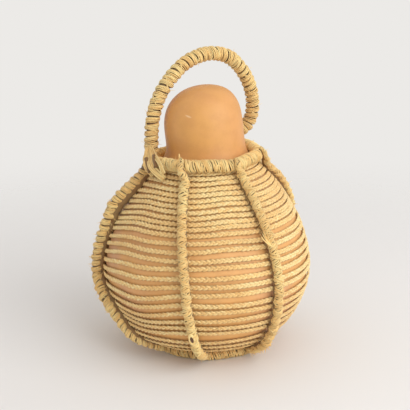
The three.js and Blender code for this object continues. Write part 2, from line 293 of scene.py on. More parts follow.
class Track:
    """A line in the frame that a straight piece, modelled along X, is bent to."""

    def __init__(self, points: np.ndarray, outward: Sequence = (0, -1, 0), closed: bool = False) -> None:
        """Carry a frame along the line without twist, or in stated directions.

        Args:
            points: Points of the line, one a row. A closed line ends where it starts.
            outward: Direction that the piece's Z takes at the start, or at each point.
            closed: Whether the line closes on itself.
        """
        self.lengths = lengths_along(points)
        self.length = float(self.lengths[-1])
        self.points = points
        tangents = np.gradient(points, self.lengths, axis=0)
        if closed:
            ends = points[1] - points[-2]
            tangents[0] = tangents[-1] = ends
        self.tangents = tangents / np.linalg.norm(tangents, axis=1)[:, None]
        outward = np.array(outward, float)
        self.ups = self._carry(outward) if outward.ndim == 1 else self._square(outward)
        if closed:
            self._untwist()
        self.sides = np.cross(self.ups, self.tangents)

    def _carry(self, up: np.ndarray) -> np.ndarray:
        """Carry a direction along the line, kept square to it.

        Args:
            up: Direction at the start.

        Returns:
            The direction at each point.
        """
        ups = []
        for tangent in self.tangents:
            up = up - tangent * (up @ tangent)
            up = up / np.linalg.norm(up)
            ups.append(up)
        return np.array(ups)

    def _square(self, outward: np.ndarray) -> np.ndarray:
        """Turn the stated directions square to the line.

        Args:
            outward: Direction at each point.

        Returns:
            The directions, square to the line and of length one.
        """
        along = (outward * self.tangents).sum(1)[:, None]
        ups = outward - self.tangents * along
        return ups / np.linalg.norm(ups, axis=1)[:, None]

    def _untwist(self) -> None:
        """Spread the twist left at a closed line's seam along its whole length."""
        side = np.cross(self.ups[0], self.tangents[0])
        left = math.atan2(self.ups[-1] @ side, self.ups[-1] @ self.ups[0])
        turn = -left * self.lengths / self.length
        sides = np.cross(self.ups, self.tangents)
        self.ups = self.ups * np.cos(turn)[:, None] + sides * np.sin(turn)[:, None]

    def at(self, distance: np.ndarray, rows: np.ndarray) -> np.ndarray:
        """Read rows that belong to the line's points at distances along it."""
        return np.column_stack([np.interp(distance, self.lengths, rows[:, i]) for i in range(3)])

    def bend(self, co: np.ndarray) -> np.ndarray:
        """Bend points of a straight piece along X to the line.

        Args:
            co: Points, one a row, with X from zero to the line's length.

        Returns:
            The bent points.
        """
        x = np.clip(co[:, 0], 0, self.length)
        over = (co[:, 0] - x)[:, None] * self.at(x, self.tangents)
        up, side = self.at(x, self.ups), self.at(x, self.sides)
        return self.at(x, self.points) + over + up * co[:, 2:3] + side * co[:, 1:2]


def coordinates(piece: bpy.types.Object) -> np.ndarray:
    """List the places of a piece's vertices.

    Args:
        piece: The piece.

    Returns:
        The places, one a row.
    """
    co = np.empty(len(piece.data.vertices) * 3)
    piece.data.vertices.foreach_get("co", co)
    return co.reshape(-1, 3)


def place(piece: bpy.types.Object, co: np.ndarray) -> None:
    """Give a piece's vertices their places."""
    piece.data.vertices.foreach_set("co", np.ascontiguousarray(co, float).ravel())
    piece.data.update()


def lay_fibres(
    piece: bpy.types.Object, along: np.ndarray, turned: np.ndarray, tone: np.ndarray, shade: np.ndarray
) -> None:
    """Store how the straw lies at each vertex, for the straw's finish to follow.

    Args:
        piece: A piece of straw.
        along: Distance along the straw.
        turned: Share of a turn round the straw, from its outer side.
        tone: Number of the straw, which sets its tone.
        shade: How much painted shade darkens it, by how deep it lies in a crevice, from 0 to 1.
    """
    attributes = piece.data.attributes
    lie = attributes.get("lie") or attributes.new("lie", "FLOAT_VECTOR", "POINT")
    lie.data.foreach_set("vector", np.column_stack((along, turned, tone)).astype(np.float32).ravel())
    painted_shade = attributes.get("shade") or attributes.new("shade", "FLOAT", "POINT")
    painted_shade.data.foreach_set("value", np.ascontiguousarray(shade, np.float32))


def added(name: str) -> bpy.types.Object:
    """Name the object that an operator has just added.

    Args:
        name: Name for the object and its mesh.

    Returns:
        The object.
    """
    piece = bpy.context.active_object
    piece.name = piece.data.name = name
    return piece


def pick(*pieces: bpy.types.Object) -> None:
    """Select only these pieces, and make the first the active one.

    Args:
        *pieces: The pieces.
    """
    bpy.ops.object.select_all(action="DESELECT")
    for piece in pieces:
        piece.select_set(True)
    bpy.context.view_layer.objects.active = pieces[0]


def apply_all(piece: bpy.types.Object) -> bpy.types.Object:
    """Apply all of a piece's modifiers, in order.

    Args:
        piece: The piece.

    Returns:
        The same piece.
    """
    pick(piece)
    for modifier in list(piece.modifiers):
        bpy.ops.object.modifier_apply(modifier=modifier.name)
    return piece


def close_up(piece: bpy.types.Object) -> bpy.types.Object:
    """Merge a piece's seams, fill its open ends, turn its faces outwards and shade it smooth.

    Args:
        piece: The piece.

    Returns:
        The same piece.
    """
    pick(piece)
    bpy.ops.object.mode_set(mode="EDIT")
    bpy.ops.mesh.select_all(action="SELECT")
    bpy.ops.mesh.remove_doubles(threshold=MERGE)
    bpy.ops.mesh.select_mode(type="EDGE")
    bpy.ops.mesh.select_all(action="DESELECT")
    bpy.ops.mesh.select_non_manifold()
    bpy.ops.mesh.fill_holes(sides=0)
    bpy.ops.mesh.select_mode(type="VERT")
    bpy.ops.mesh.select_all(action="SELECT")
    bpy.ops.mesh.normals_make_consistent(inside=False)
    bpy.ops.object.mode_set(mode="OBJECT")
    bpy.ops.object.shade_smooth()
    return piece


def joined(name: str, pieces: Sequence[bpy.types.Object]) -> bpy.types.Object:
    """Join pieces into one.

    Args:
        name: Name of the whole.
        pieces: The pieces.

    Returns:
        The whole.
    """
    pick(*pieces)
    if len(pieces) > 1:
        bpy.ops.object.join()
    return added(name)


def copy_of(piece: bpy.types.Object) -> bpy.types.Object:
    """Copy a piece, with a mesh of its own.

    Args:
        piece: The piece.

    Returns:
        The copy.
    """
    twin = piece.copy()
    twin.data = piece.data.copy()
    bpy.context.scene.collection.objects.link(twin)
    return twin


def discard(piece: bpy.types.Object) -> None:
    """Remove a piece that was only a pattern to copy."""
    bpy.data.meshes.remove(piece.data)


def finish_piece(piece: bpy.types.Object, slot: Slot, material: bpy.types.Material, *nodes: str) -> None:
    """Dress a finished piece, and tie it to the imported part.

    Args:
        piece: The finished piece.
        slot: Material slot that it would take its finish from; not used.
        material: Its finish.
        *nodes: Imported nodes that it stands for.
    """
    piece.data.materials.clear()
    piece.data.materials.append(material)
    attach(piece, ROOT)
    if nodes:
        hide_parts(*nodes)
    log.info("%s: %d faces", piece.name, len(piece.data.polygons))


class Shader:
    """A node tree under construction."""

    def __init__(self, tree: bpy.types.NodeTree) -> None:
        """Start on a tree.

        Args:
            tree: Node tree of a material or a group.
        """
        self.tree = tree

    def add(self, kind: str, inputs: dict | None = None, **settings: object) -> bpy.types.Node:
        """Add a node.

        Args:
            kind: Node type, without its ShaderNode prefix.
            inputs: Values or sockets for its inputs, by name or number.
            **settings: Properties of the node.

        Returns:
            The node.
        """
        node = self.tree.nodes.new("ShaderNode" + kind)
        for key, value in settings.items():
            setattr(node, key, value)
        for key, value in (inputs or {}).items():
            if isinstance(value, bpy.types.NodeSocket):
                self.tree.links.new(value, node.inputs[key])
            else:
                node.inputs[key].default_value = value
        return node

    def math(self, operation: str, *values: object) -> bpy.types.NodeSocket:
        """Add a math node and return its result."""
        return self.add("Math", dict(enumerate(values)), operation=operation).outputs[0]

    def mix(self, share: object, first: object, second: object) -> bpy.types.NodeSocket:
        """Mix two colours by a share, and return the colour."""
        node = self.add("Mix", {0: share, 6: first, 7: second}, data_type="RGBA")
        return node.outputs[2]

    def noise(self, vector: object, scale: float, detail: float = 2) -> bpy.types.NodeSocket:
        """Add a noise texture and return its value."""
        inputs = {"Vector": vector, "Scale": scale, "Detail": detail}
        return self.add("TexNoise", inputs).outputs["Fac"]

    def band(self, value: object, low: float, high: float) -> bpy.types.NodeSocket:
        """Ease a value from zero at low to one at high."""
        inputs = {"Value": value, "From Min": low, "From Max": high}
        node = self.add("MapRange", inputs, interpolation_type="SMOOTHSTEP")
        return node.outputs["Result"]

    def stretched(self, vector: object, scale: Sequence[float]) -> bpy.types.NodeSocket:
        """Stretch a vector by a scale on each axis."""
        node = self.add("VectorMath", {0: vector, 1: scale}, operation="MULTIPLY")
        return node.outputs[0]


def new_group(name: str, inputs: dict[str, str], outputs: dict[str, str]) -> tuple:
    """Start a shader node group with named inputs and outputs.

    Args:
        name: Name of the group.
        inputs: Kind of each input socket, by name.
        outputs: Kind of each output socket, by name.

    Returns:
        The group, its builder, its input node and its output node.
    """
    group = bpy.data.node_groups.new(name, "ShaderNodeTree")
    for in_out, sockets in (("INPUT", inputs), ("OUTPUT", outputs)):
        for socket, kind in sockets.items():
            group.interface.new_socket(socket, in_out=in_out, socket_type="NodeSocket" + kind)
    shader = Shader(group)
    start = group.nodes.new("NodeGroupInput")
    end = group.nodes.new("NodeGroupOutput")
    return group, shader, start, end


def mottle_group() -> bpy.types.NodeTree:
    """Build the uneven tone that age and handling leave on a surface, as one group.

    Returns:
        The group, with Coordinates, Size and Depth in and Mask and Height out.
    """
    group, shader, start, end = new_group(
        "mottle",
        {"Coordinates": "Vector", "Size": "Float", "Depth": "Float"},
        {"Mask": "Float", "Height": "Float"},
    )
    finer, finer_share = 7.0, 0.25
    coordinates_in = start.outputs["Coordinates"]
    scale = shader.math("DIVIDE", 1.0, start.outputs["Size"])
    wide = shader.add("TexNoise", {"Vector": coordinates_in, "Scale": scale, "Detail": 4.0})
    fine_scale = shader.math("MULTIPLY", scale, finer)
    fine = shader.add("TexNoise", {"Vector": coordinates_in, "Scale": fine_scale, "Detail": 2.0})
    ripple = shader.math("MULTIPLY", fine.outputs["Fac"], finer_share)
    blend = shader.math("ADD", wide.outputs["Fac"], ripple)
    mask = shader.band(blend, 0.45, 0.8)
    group.links.new(mask, end.inputs["Mask"])
    group.links.new(shader.math("MULTIPLY", mask, start.outputs["Depth"]), end.inputs["Height"])
    return group


def fibre_group() -> bpy.types.NodeTree:
    """Build the grain of split straw, which runs along each straw, as one group.

    Returns:
        The group, with Lie and the three straw colours in and Colour and Height out.
    """
    group, shader, start, end = new_group(
        "fibre",
        {"Lie": "Vector", "Pale": "Color", "Mid": "Color", "Deep": "Color"},
        {"Colour": "Color", "Height": "Float"},
    )
    lie = start.outputs["Lie"]
    streak = shader.noise(shader.stretched(lie, GRAIN), 1.0, 3.0)
    tone = shader.noise(shader.stretched(lie, TONES), 1.0, 1.0)
    speck = shader.noise(shader.stretched(lie, SPECKS), 1.0, 1.0)
    body = shader.mix(shader.band(tone, 0.36, 0.64), start.outputs["Mid"], start.outputs["Pale"])
    lined = shader.mix(shader.band(streak, 0.5, 0.72), body, start.outputs["Deep"])
    spots = shader.math("MULTIPLY", shader.band(speck, 0.66, 0.76), 0.55)
    group.links.new(shader.mix(spots, lined, start.outputs["Deep"]), end.inputs["Colour"])
    group.links.new(shader.band(streak, 0.3, 0.7), end.inputs["Height"])
    return group


@dataclass(frozen=True)
class StrawFinish:
    """Dry split straw: matte with a faint gleam, each straw in a tone of its own."""

    name: str
    pale: tuple[int, int, int] = (255, 232, 168)
    mid: tuple[int, int, int] = (252, 214, 142)
    deep: tuple[int, int, int] = (214, 164, 94)
    aged: tuple[int, int, int] = (228, 178, 108)
    # Colour of the painted shade that the shade attribute mixes in, in crevices and under straws.
    painted_shade: tuple[int, int, int] = (96, 56, 22)
    aged_size: float = 0.09  # size of the aged patches
    aged_depth: float = 0.5
    roughness: float = 0.62
    sheen: float = 0.15
    relief: float = 0.0004

    def material(self, fibre: bpy.types.NodeTree, mottle: bpy.types.NodeTree) -> bpy.types.Material:
        """Build the finish.

        Args:
            fibre: The group for the grain.
            mottle: The group for uneven tone.

        Returns:
            The material.
        """
        made = bpy.data.materials.new(self.name)
        made.use_nodes = True
        shader = Shader(made.node_tree)
        bsdf = made.node_tree.nodes["Principled BSDF"]
        lie = shader.add("Attribute", attribute_name="lie").outputs["Vector"]
        place_of = shader.add("TexCoord").outputs["Object"]
        grain = shader.add("Group", node_tree=fibre)
        made.node_tree.links.new(lie, grain.inputs["Lie"])
        for socket, colour in (("Pale", self.pale), ("Mid", self.mid), ("Deep", self.deep)):
            grain.inputs[socket].default_value = linear(*colour)
        age = shader.add("Group", node_tree=mottle)
        made.node_tree.links.new(place_of, age.inputs["Coordinates"])
        age.inputs["Size"].default_value = self.aged_size
        age.inputs["Depth"].default_value = 0.0
        worn = shader.math("MULTIPLY", age.outputs["Mask"], self.aged_depth)
        colour = shader.mix(worn, grain.outputs["Colour"], linear(*self.aged))
        # Painted shade: darken the colour towards the painted shade colour by the shade attribute, most in
        # crevices.
        depth = shader.add("Attribute", attribute_name="shade").outputs["Fac"]
        colour = shader.mix(depth, colour, linear(*self.painted_shade))
        bump = shader.add("Bump", {"Distance": self.relief, "Height": grain.outputs["Height"]})
        made.node_tree.links.new(colour, bsdf.inputs["Base Color"])
        made.node_tree.links.new(bump.outputs["Normal"], bsdf.inputs["Normal"])
        bsdf.inputs["Roughness"].default_value = self.roughness
        bsdf.inputs["Sheen Weight"].default_value = self.sheen
        return made


@dataclass(frozen=True)
class SkinFinish:
    """Dried gourd rind: waxy and satin, golden at the neck, paler and dusty on the belly."""

    name: str = "dried_rind"
    golden: tuple[int, int, int] = (216, 158, 86)
    tan: tuple[int, int, int] = (216, 156, 94)
    belly: tuple[int, int, int] = (232, 176, 108)
    belly_fades: tuple[float, float] = (0.225, 0.275)  # heights
    broad_mottle: tuple[float, float] = (0.11, 0.4)  # size of the patches and their depth
    close_mottle: tuple[float, float] = (0.018, 0.15)
    fleck_depth: float = 0.12
    bloom: tuple[int, int, int] = (226, 172, 130)
    bloom_sides: tuple[float, float] = (0.045, 0.105)  # distances from the middle
    bloom_patches: float = 9.0
    bloom_edges: tuple[float, float] = (0.42, 0.6)
    bloom_depth: float = 0.8
    stain: tuple[int, int, int] = (150, 92, 48)
    scratch: tuple[int, int, int] = (246, 214, 170)
    scratch_at: tuple[float, float, float] = (-0.0168, -0.052, 0.3262)
    scratch_size: tuple[float, float, float] = (0.0058, 0.02, 0.0016)
    scratch_turn: float = 17.0  # degrees
    scratch_depth: float = 0.45
    roughness: float = 0.52
    coat: float = 0.05
    coat_roughness: float = 0.4
    relief: float = 0.0006

    def material(self, mottle: bpy.types.NodeTree) -> bpy.types.Material:
        """Build the finish.

        Args:
            mottle: The group for uneven tone.

        Returns:
            The material.
        """
        made = bpy.data.materials.new(self.name)
        made.use_nodes = True
        shader = Shader(made.node_tree)
        links = made.node_tree.links
        bsdf = made.node_tree.nodes["Principled BSDF"]
        place_of = shader.add("TexCoord").outputs["Object"]
        axes = shader.add("SeparateXYZ", {"Vector": place_of}).outputs
        broad = shader.add("Group", node_tree=mottle)
        close = shader.add("Group", node_tree=mottle)
        for node, (size, depth) in ((broad, self.broad_mottle), (close, self.close_mottle)):
            links.new(place_of, node.inputs["Coordinates"])
            node.inputs["Size"].default_value = size
            node.inputs["Depth"].default_value = depth
        neck = shader.mix(broad.outputs["Mask"], linear(*self.golden), linear(*self.tan))
        base = shader.mix(shader.band(axes["Z"], *self.belly_fades), linear(*self.belly), neck)
        sides = shader.band(shader.math("ABSOLUTE", axes["X"]), *self.bloom_sides)
        patches = shader.band(shader.noise(place_of, self.bloom_patches), *self.bloom_edges)
        dusty = shader.math("MULTIPLY", shader.math("MULTIPLY", sides, patches), self.bloom_depth)
        bloomed = shader.mix(dusty, base, linear(*self.bloom))
        flecks = shader.math("MULTIPLY", close.outputs["Mask"], self.fleck_depth)
        flecked = shader.mix(flecks, bloomed, linear(*self.stain))
        scratched = shader.mix(self._scratch(shader, place_of), flecked, linear(*self.scratch))
        height = shader.math("ADD", broad.outputs["Height"], close.outputs["Height"])
        bump = shader.add("Bump", {"Distance": self.relief, "Height": height})
        links.new(scratched, bsdf.inputs["Base Color"])
        links.new(bump.outputs["Normal"], bsdf.inputs["Normal"])
        bsdf.inputs["Roughness"].default_value = self.roughness
        bsdf.inputs["Coat Weight"].default_value = self.coat
        bsdf.inputs["Coat Roughness"].default_value = self.coat_roughness
        return made

    def _scratch(self, shader: Shader, place_of: bpy.types.NodeSocket) -> bpy.types.NodeSocket:
        """Mask the short, pale scratch on the neck.

        Args:
            shader: The material's nodes.
            place_of: Place in the frame.

        Returns:
            The mask.
        """
        inputs = {
            "Vector": place_of,
            "Location": self.scratch_at,
            "Rotation": (0, math.radians(self.scratch_turn), 0),
            "Scale": self.scratch_size,
        }
        spot = shader.add("Mapping", inputs, vector_type="TEXTURE").outputs["Vector"]
        ball = shader.add("TexGradient", {"Vector": spot}, gradient_type="SPHERICAL").outputs["Fac"]
        return shader.math("MULTIPLY", shader.band(ball, 0.0, 0.5), self.scratch_depth)


@dataclass
class GourdSkin:
    """The gourd: one dried fruit with a wide belly, a shoulder and a domed neck."""

    layout: Layout
    segments: int = 72
    rows: int = 44
    outline: Outline = field(init=False)

    outline_knots = (
        (0, 0.007), (0.032, 0.0085), (0.060, 0.015), (0.084, 0.0245), (0.104, 0.0385),
        (0.120, 0.057), (0.1315, 0.080), (0.1385, 0.104), (0.1395, 0.128), (0.135, 0.153),
        (0.125, 0.181), (0.109, 0.208), (0.090, 0.235), (0.073, 0.255), (0.0575, 0.2695),
        (0.053, 0.283), (0.053, 0.302), (0.052, 0.324), (0.046, 0.343), (0.032, 0.358),
        (0.015, 0.364), (0, 0.3655),
    )  # fmt: skip

    def __post_init__(self) -> None:
        """Draw the outline."""
        self.outline = Outline(self.outline_knots)

    def build(self, material: bpy.types.Material) -> None:
        """Raise the rind from a circle, row by row, and close it at both ends.

        Args:
            material: Finish of the rind.
        """
        shares = np.linspace(0, 1, self.rows + 1)[1:-1]
        radii, heights = self.outline.off_skin(shares, 0, 0)
        place_at = (0, 0, heights[0])
        bpy.ops.mesh.primitive_circle_add(vertices=self.segments, radius=radii[0], location=place_at)
        skin = added("gourd_rind")
        bpy.ops.object.transform_apply(location=True, rotation=True, scale=True)
        bpy.ops.object.mode_set(mode="EDIT")
        bpy.ops.mesh.select_all(action="SELECT")
        for i in range(1, len(radii)):
            rise = (0, 0, heights[i] - heights[i - 1])
            bpy.ops.mesh.extrude_region_move(TRANSFORM_OT_translate={"value": rise})
            grow = radii[i] / radii[i - 1]
            bpy.ops.transform.resize(value=(grow, grow, 1), center_override=(0, 0, heights[i]))
        bpy.ops.object.mode_set(mode="OBJECT")
        self._close_poles(skin)
        smooth = skin.modifiers.new("smooth", "SUBSURF")
        smooth.levels = smooth.render_levels = 1
        apply_all(close_up(skin))
        place(skin, self.layout.settle(coordinates(skin), on_gourd=True))
        bpy.ops.object.shade_smooth()
        finish_piece(skin, Slot.SKIN, material, "gourd")

    def _close_poles(self, skin: bpy.types.Object) -> None:
        """Extrude the two end rows on to the poles and merge each to a point.

        Args:
            skin: The rind, open at both ends.
        """
        heights = coordinates(skin)[:, 2]
        low, high = (self.outline_knots[i][1] for i in (0, -1))
        pick(skin)
        for row, pole in ((heights.min(), low), (heights.max(), high)):
            bpy.ops.object.mode_set(mode="EDIT")
            bpy.ops.mesh.select_mode(type="VERT")
            bpy.ops.mesh.select_all(action="DESELECT")
            bpy.ops.object.mode_set(mode="OBJECT")
            for vertex in skin.data.vertices:
                vertex.select = abs(vertex.co.z - row) < MERGE
            bpy.ops.object.mode_set(mode="EDIT")
            bpy.ops.mesh.extrude_region_move(TRANSFORM_OT_translate={"value": (0, 0, pole - row)})
            bpy.ops.mesh.merge(type="CENTER")
            bpy.ops.object.mode_set(mode="OBJECT")


@dataclass
class Courses:
    """The plaited courses: hoops of flat, three-strand plait that lie on the rind."""

    layout: Layout
    outline: Outline
    width: float = 0.0073
    clearance: float = 0.00035  # how far a course lies off the skin
    lowest: tuple[float, float] = (0.0935, 0.0306)  # radius and height of the first course
    # How many courses follow at each pitch, from the base up.
    bands: tuple[tuple[int, float], ...] = ((3, 0.0158), (5, 0.0119), (7, 0.0109), (10, 0.0077))
    wander: float = 0.22  # share of the free gap that a course wanders by
    phase: float = 2.4  # how far its wandering is out of step with the next one's
    drift: tuple[float, float] = (0.0005, 0.14)  # its drift, and what a free gap adds to it
    sag_heights: tuple[float, ...] = (0.0306, 0.100, 0.125, 0.160, 0.215, 0.232, 0.262, 0.3655)
    # The drops at these heights, and the azimuths to the left between which each one comes and goes.
    panel_sag: tuple[float, ...] = (0, 0.016, 0.015, 0.003, 0, 0, 0, 0)
    panel_sag_comes: tuple[float, float] = (8, 45)
    side_sag: tuple[float, ...] = (0, 0.002, 0.008, 0.024, 0.024, 0.017, 0, 0)
    side_sag_comes: tuple[float, float] = (44, 96)
    sag_goes: tuple[float, float] = (100, 155)
    sag_steadies: float = 0.5  # share of its wandering that a sagging course loses
    # How far the courses bow up between the front ribs, and the azimuths between which they do.
    front_rise: tuple[float, ...] = (0, 0, 0, 0.0022, 0.0030, 0.0030, 0, 0)
    front_rises: tuple[float, float] = (-12, 36)
    strands: int = 3
    strand_width: float = 0.0036
    strand_thick: float = 0.0021
    lift: float = 0.00075  # how far a strand rises over the others and dips under them
    repeat: float = 0.0184  # distance after which the plait repeats
    steps: int = 10
    sides: int = 6
    ruffle: float = 0.00045  # how uneven each strand is
    jostle: float = 0.0005  # how far a whole course is off its place
    side_shade: float = 0.7  # how much painted shade darkens a strand's sides, and a strand where it dips under another
    under_shade: float = 0.28
    tucked_pitch: float = 0.0074  # pitch of the last course, under the neck ring

    def spots(self) -> list[tuple[float, float]]:
        """Space the courses up the skin.

        Returns:
            Each course's share of the outline and the free gap above it, from the lowest.
        """
        listed = []
        share = self.outline.share_near(*self.lowest)
        for courses, pitch in self.bands:
            for _ in range(courses):
                listed.append((share, pitch - self.width))
                share += pitch / self.outline.length
        return [*listed, (share, 0.0)]

    def _hang(self, share: float, angle: np.ndarray) -> tuple[np.ndarray, np.ndarray]:
        """Find how far a course hangs below level, and how freely it wanders there.

        Args:
            share: Share of the outline at which the course lies.
            angle: Azimuths in radians.

        Returns:
            Its drop along the skin, and the share of its wandering that it keeps.
        """
        height = self.outline.off_skin(share, 0, 0)[1]
        panel, side, rise = (
            float(np.interp(height, self.sag_heights, drops))
            for drops in (self.panel_sag, self.side_sag, self.front_rise)
        )
        left = np.mod(-np.degrees(angle), 360)
        stays = 1 - smoothstep(left, *self.sag_goes)
        in_panel = smoothstep(left, *self.panel_sag_comes) * stays
        at_side = smoothstep(left, *self.side_sag_comes) * stays
        first, last = self.front_rises
        across = np.clip((np.mod(180 - left, 360) - 180 - first) / (last - first), 0, 1)
        drop = panel * in_panel + side * at_side - rise * np.sin(math.pi * across) ** 2
        return drop, 1 - self.sag_steadies * in_panel

    def _way(self, x: np.ndarray) -> tuple[np.ndarray, np.ndarray]:
        """Follow a strand over and under the others.

        Args:
            x: Distances along the plait.

        Returns:
            How far sideways and how far up the strand's middle lies.
        """
        t = TURN * np.asarray(x) / self.repeat
        swing = (self.width - self.strand_width) / 2
        middle = self.lift + self.strand_thick / 2
        return swing * np.cos(t), middle + self.lift * np.sin(2 * t)

    def _strand(self) -> bpy.types.Object:
        """Model one repeat of a strand: an oval drawn along its way over and under the others.

        Returns:
            The strand, straight.
        """
        quarter = (0, math.pi / 2, 0)
        bpy.ops.mesh.primitive_circle_add(vertices=self.sides, radius=0.5, rotation=quarter)
        strand = added("strand")
        bpy.ops.object.transform_apply(location=True, rotation=True, scale=True)
        bpy.ops.object.mode_set(mode="EDIT")
        bpy.ops.mesh.select_all(action="SELECT")
        bpy.ops.transform.resize(value=(1, self.strand_width, self.strand_thick))
        side, up = self._way(0)
        bpy.ops.transform.translate(value=(0, float(side), float(up)))
        for i in range(self.steps):
            here, there = (np.array(self._way(self.repeat * (i + k) / self.steps)) for k in (0, 1))
            step = (self.repeat / self.steps, *(float(v) for v in there - here))
            bpy.ops.mesh.extrude_region_move(TRANSFORM_OT_translate={"value": step})
        bpy.ops.object.mode_set(mode="OBJECT")
        return strand

    def _lay(self, strand: bpy.types.Object, share: float, free_gap: float, number: int) -> list:
        """Lay the three strands of one course round the gourd.

        Args:
            strand: One repeat of a strand.
            share: Share of the outline at which the course lies.
            free_gap: Free gap beside the course.
            number: Number of the course, from the lowest.

        Returns:
            The three strands.
        """
        radius, _ = self.outline.off_skin(share, 0, 0)
        repeats = max(1, round(TURN * float(radius) / self.repeat))
        row = copy_of(strand)
        array = row.modifiers.new("repeats", "ARRAY")
        array.use_relative_offset = False
        array.use_constant_offset = True
        array.constant_offset_displace = (self.repeat, 0, 0)
        array.count = repeats
        array.use_merge_vertices = True
        array.merge_threshold = MERGE
        apply_all(row)
        straight = coordinates(row)
        side, up = self._way(straight[:, 0])
        turned = np.arctan2(straight[:, 1] - side, straight[:, 2] - up) / TURN
        drift = Waver(100 + number, (1, 3, 5))
        shift = np.random.default_rng(150 + number).uniform(-1, 1) * self.jostle
        slow, by_gap = self.drift
        laid = []
        for k in range(self.strands):
            piece = copy_of(row)
            x = straight[:, 0] + self.repeat * k / self.strands
            angle = TURN * x / (self.repeat * repeats)
            rough = Waver(200 + 7 * number + k, (9, 17, 31, 43))
            drop, freedom = self._hang(share, angle)
            stray = self.wander * free_gap * freedom * np.sin(2 * angle + self.phase * number)
            stray += shift + (slow + by_gap * free_gap) * drift(angle)
            along = straight[:, 1] + stray + self.ruffle * rough(angle)
            proud = straight[:, 2] + self.clearance + 0.3 * self.ruffle * (1 + rough(angle + k))
            r, z = self.outline.off_skin(share - drop / self.outline.length, along, proud)
            place(piece, self.layout.settle(around(r, angle, z), on_gourd=True))
            tone = np.full(len(x), number * self.strands + k, float)
            # Painted shade where a strand dips under the others and on its sides.
            under = smoothstep(-np.sin(2 * TURN * straight[:, 0] / self.repeat), 0.2, 1)
            beside = smoothstep(np.abs(turned), 0.2, 0.4)
            shade = np.maximum(self.side_shade * beside, self.under_shade * under)
            lay_fibres(piece, x, turned, tone, shade)
            laid.append(piece)
        discard(row)
        return laid

    def build(self, material: bpy.types.Material) -> None:
        """Plait every course.

        Args:
            material: Finish of the straw.
        """
        strand = self._strand()
        spots = self.spots()
        tucked = spots[-1][0] + self.tucked_pitch / self.outline.length
        for number, (share, free_gap) in enumerate([*spots, (tucked, 0.0)], 1):
            name = f"plait_{number:02d}"
            plait = close_up(joined(name, self._lay(strand, share, free_gap, number - 1)))
            nodes = (f"course_{number:02d}",) if number <= len(spots) else ()
            finish_piece(plait, Slot.STRAW, material, *nodes)
        discard(strand)


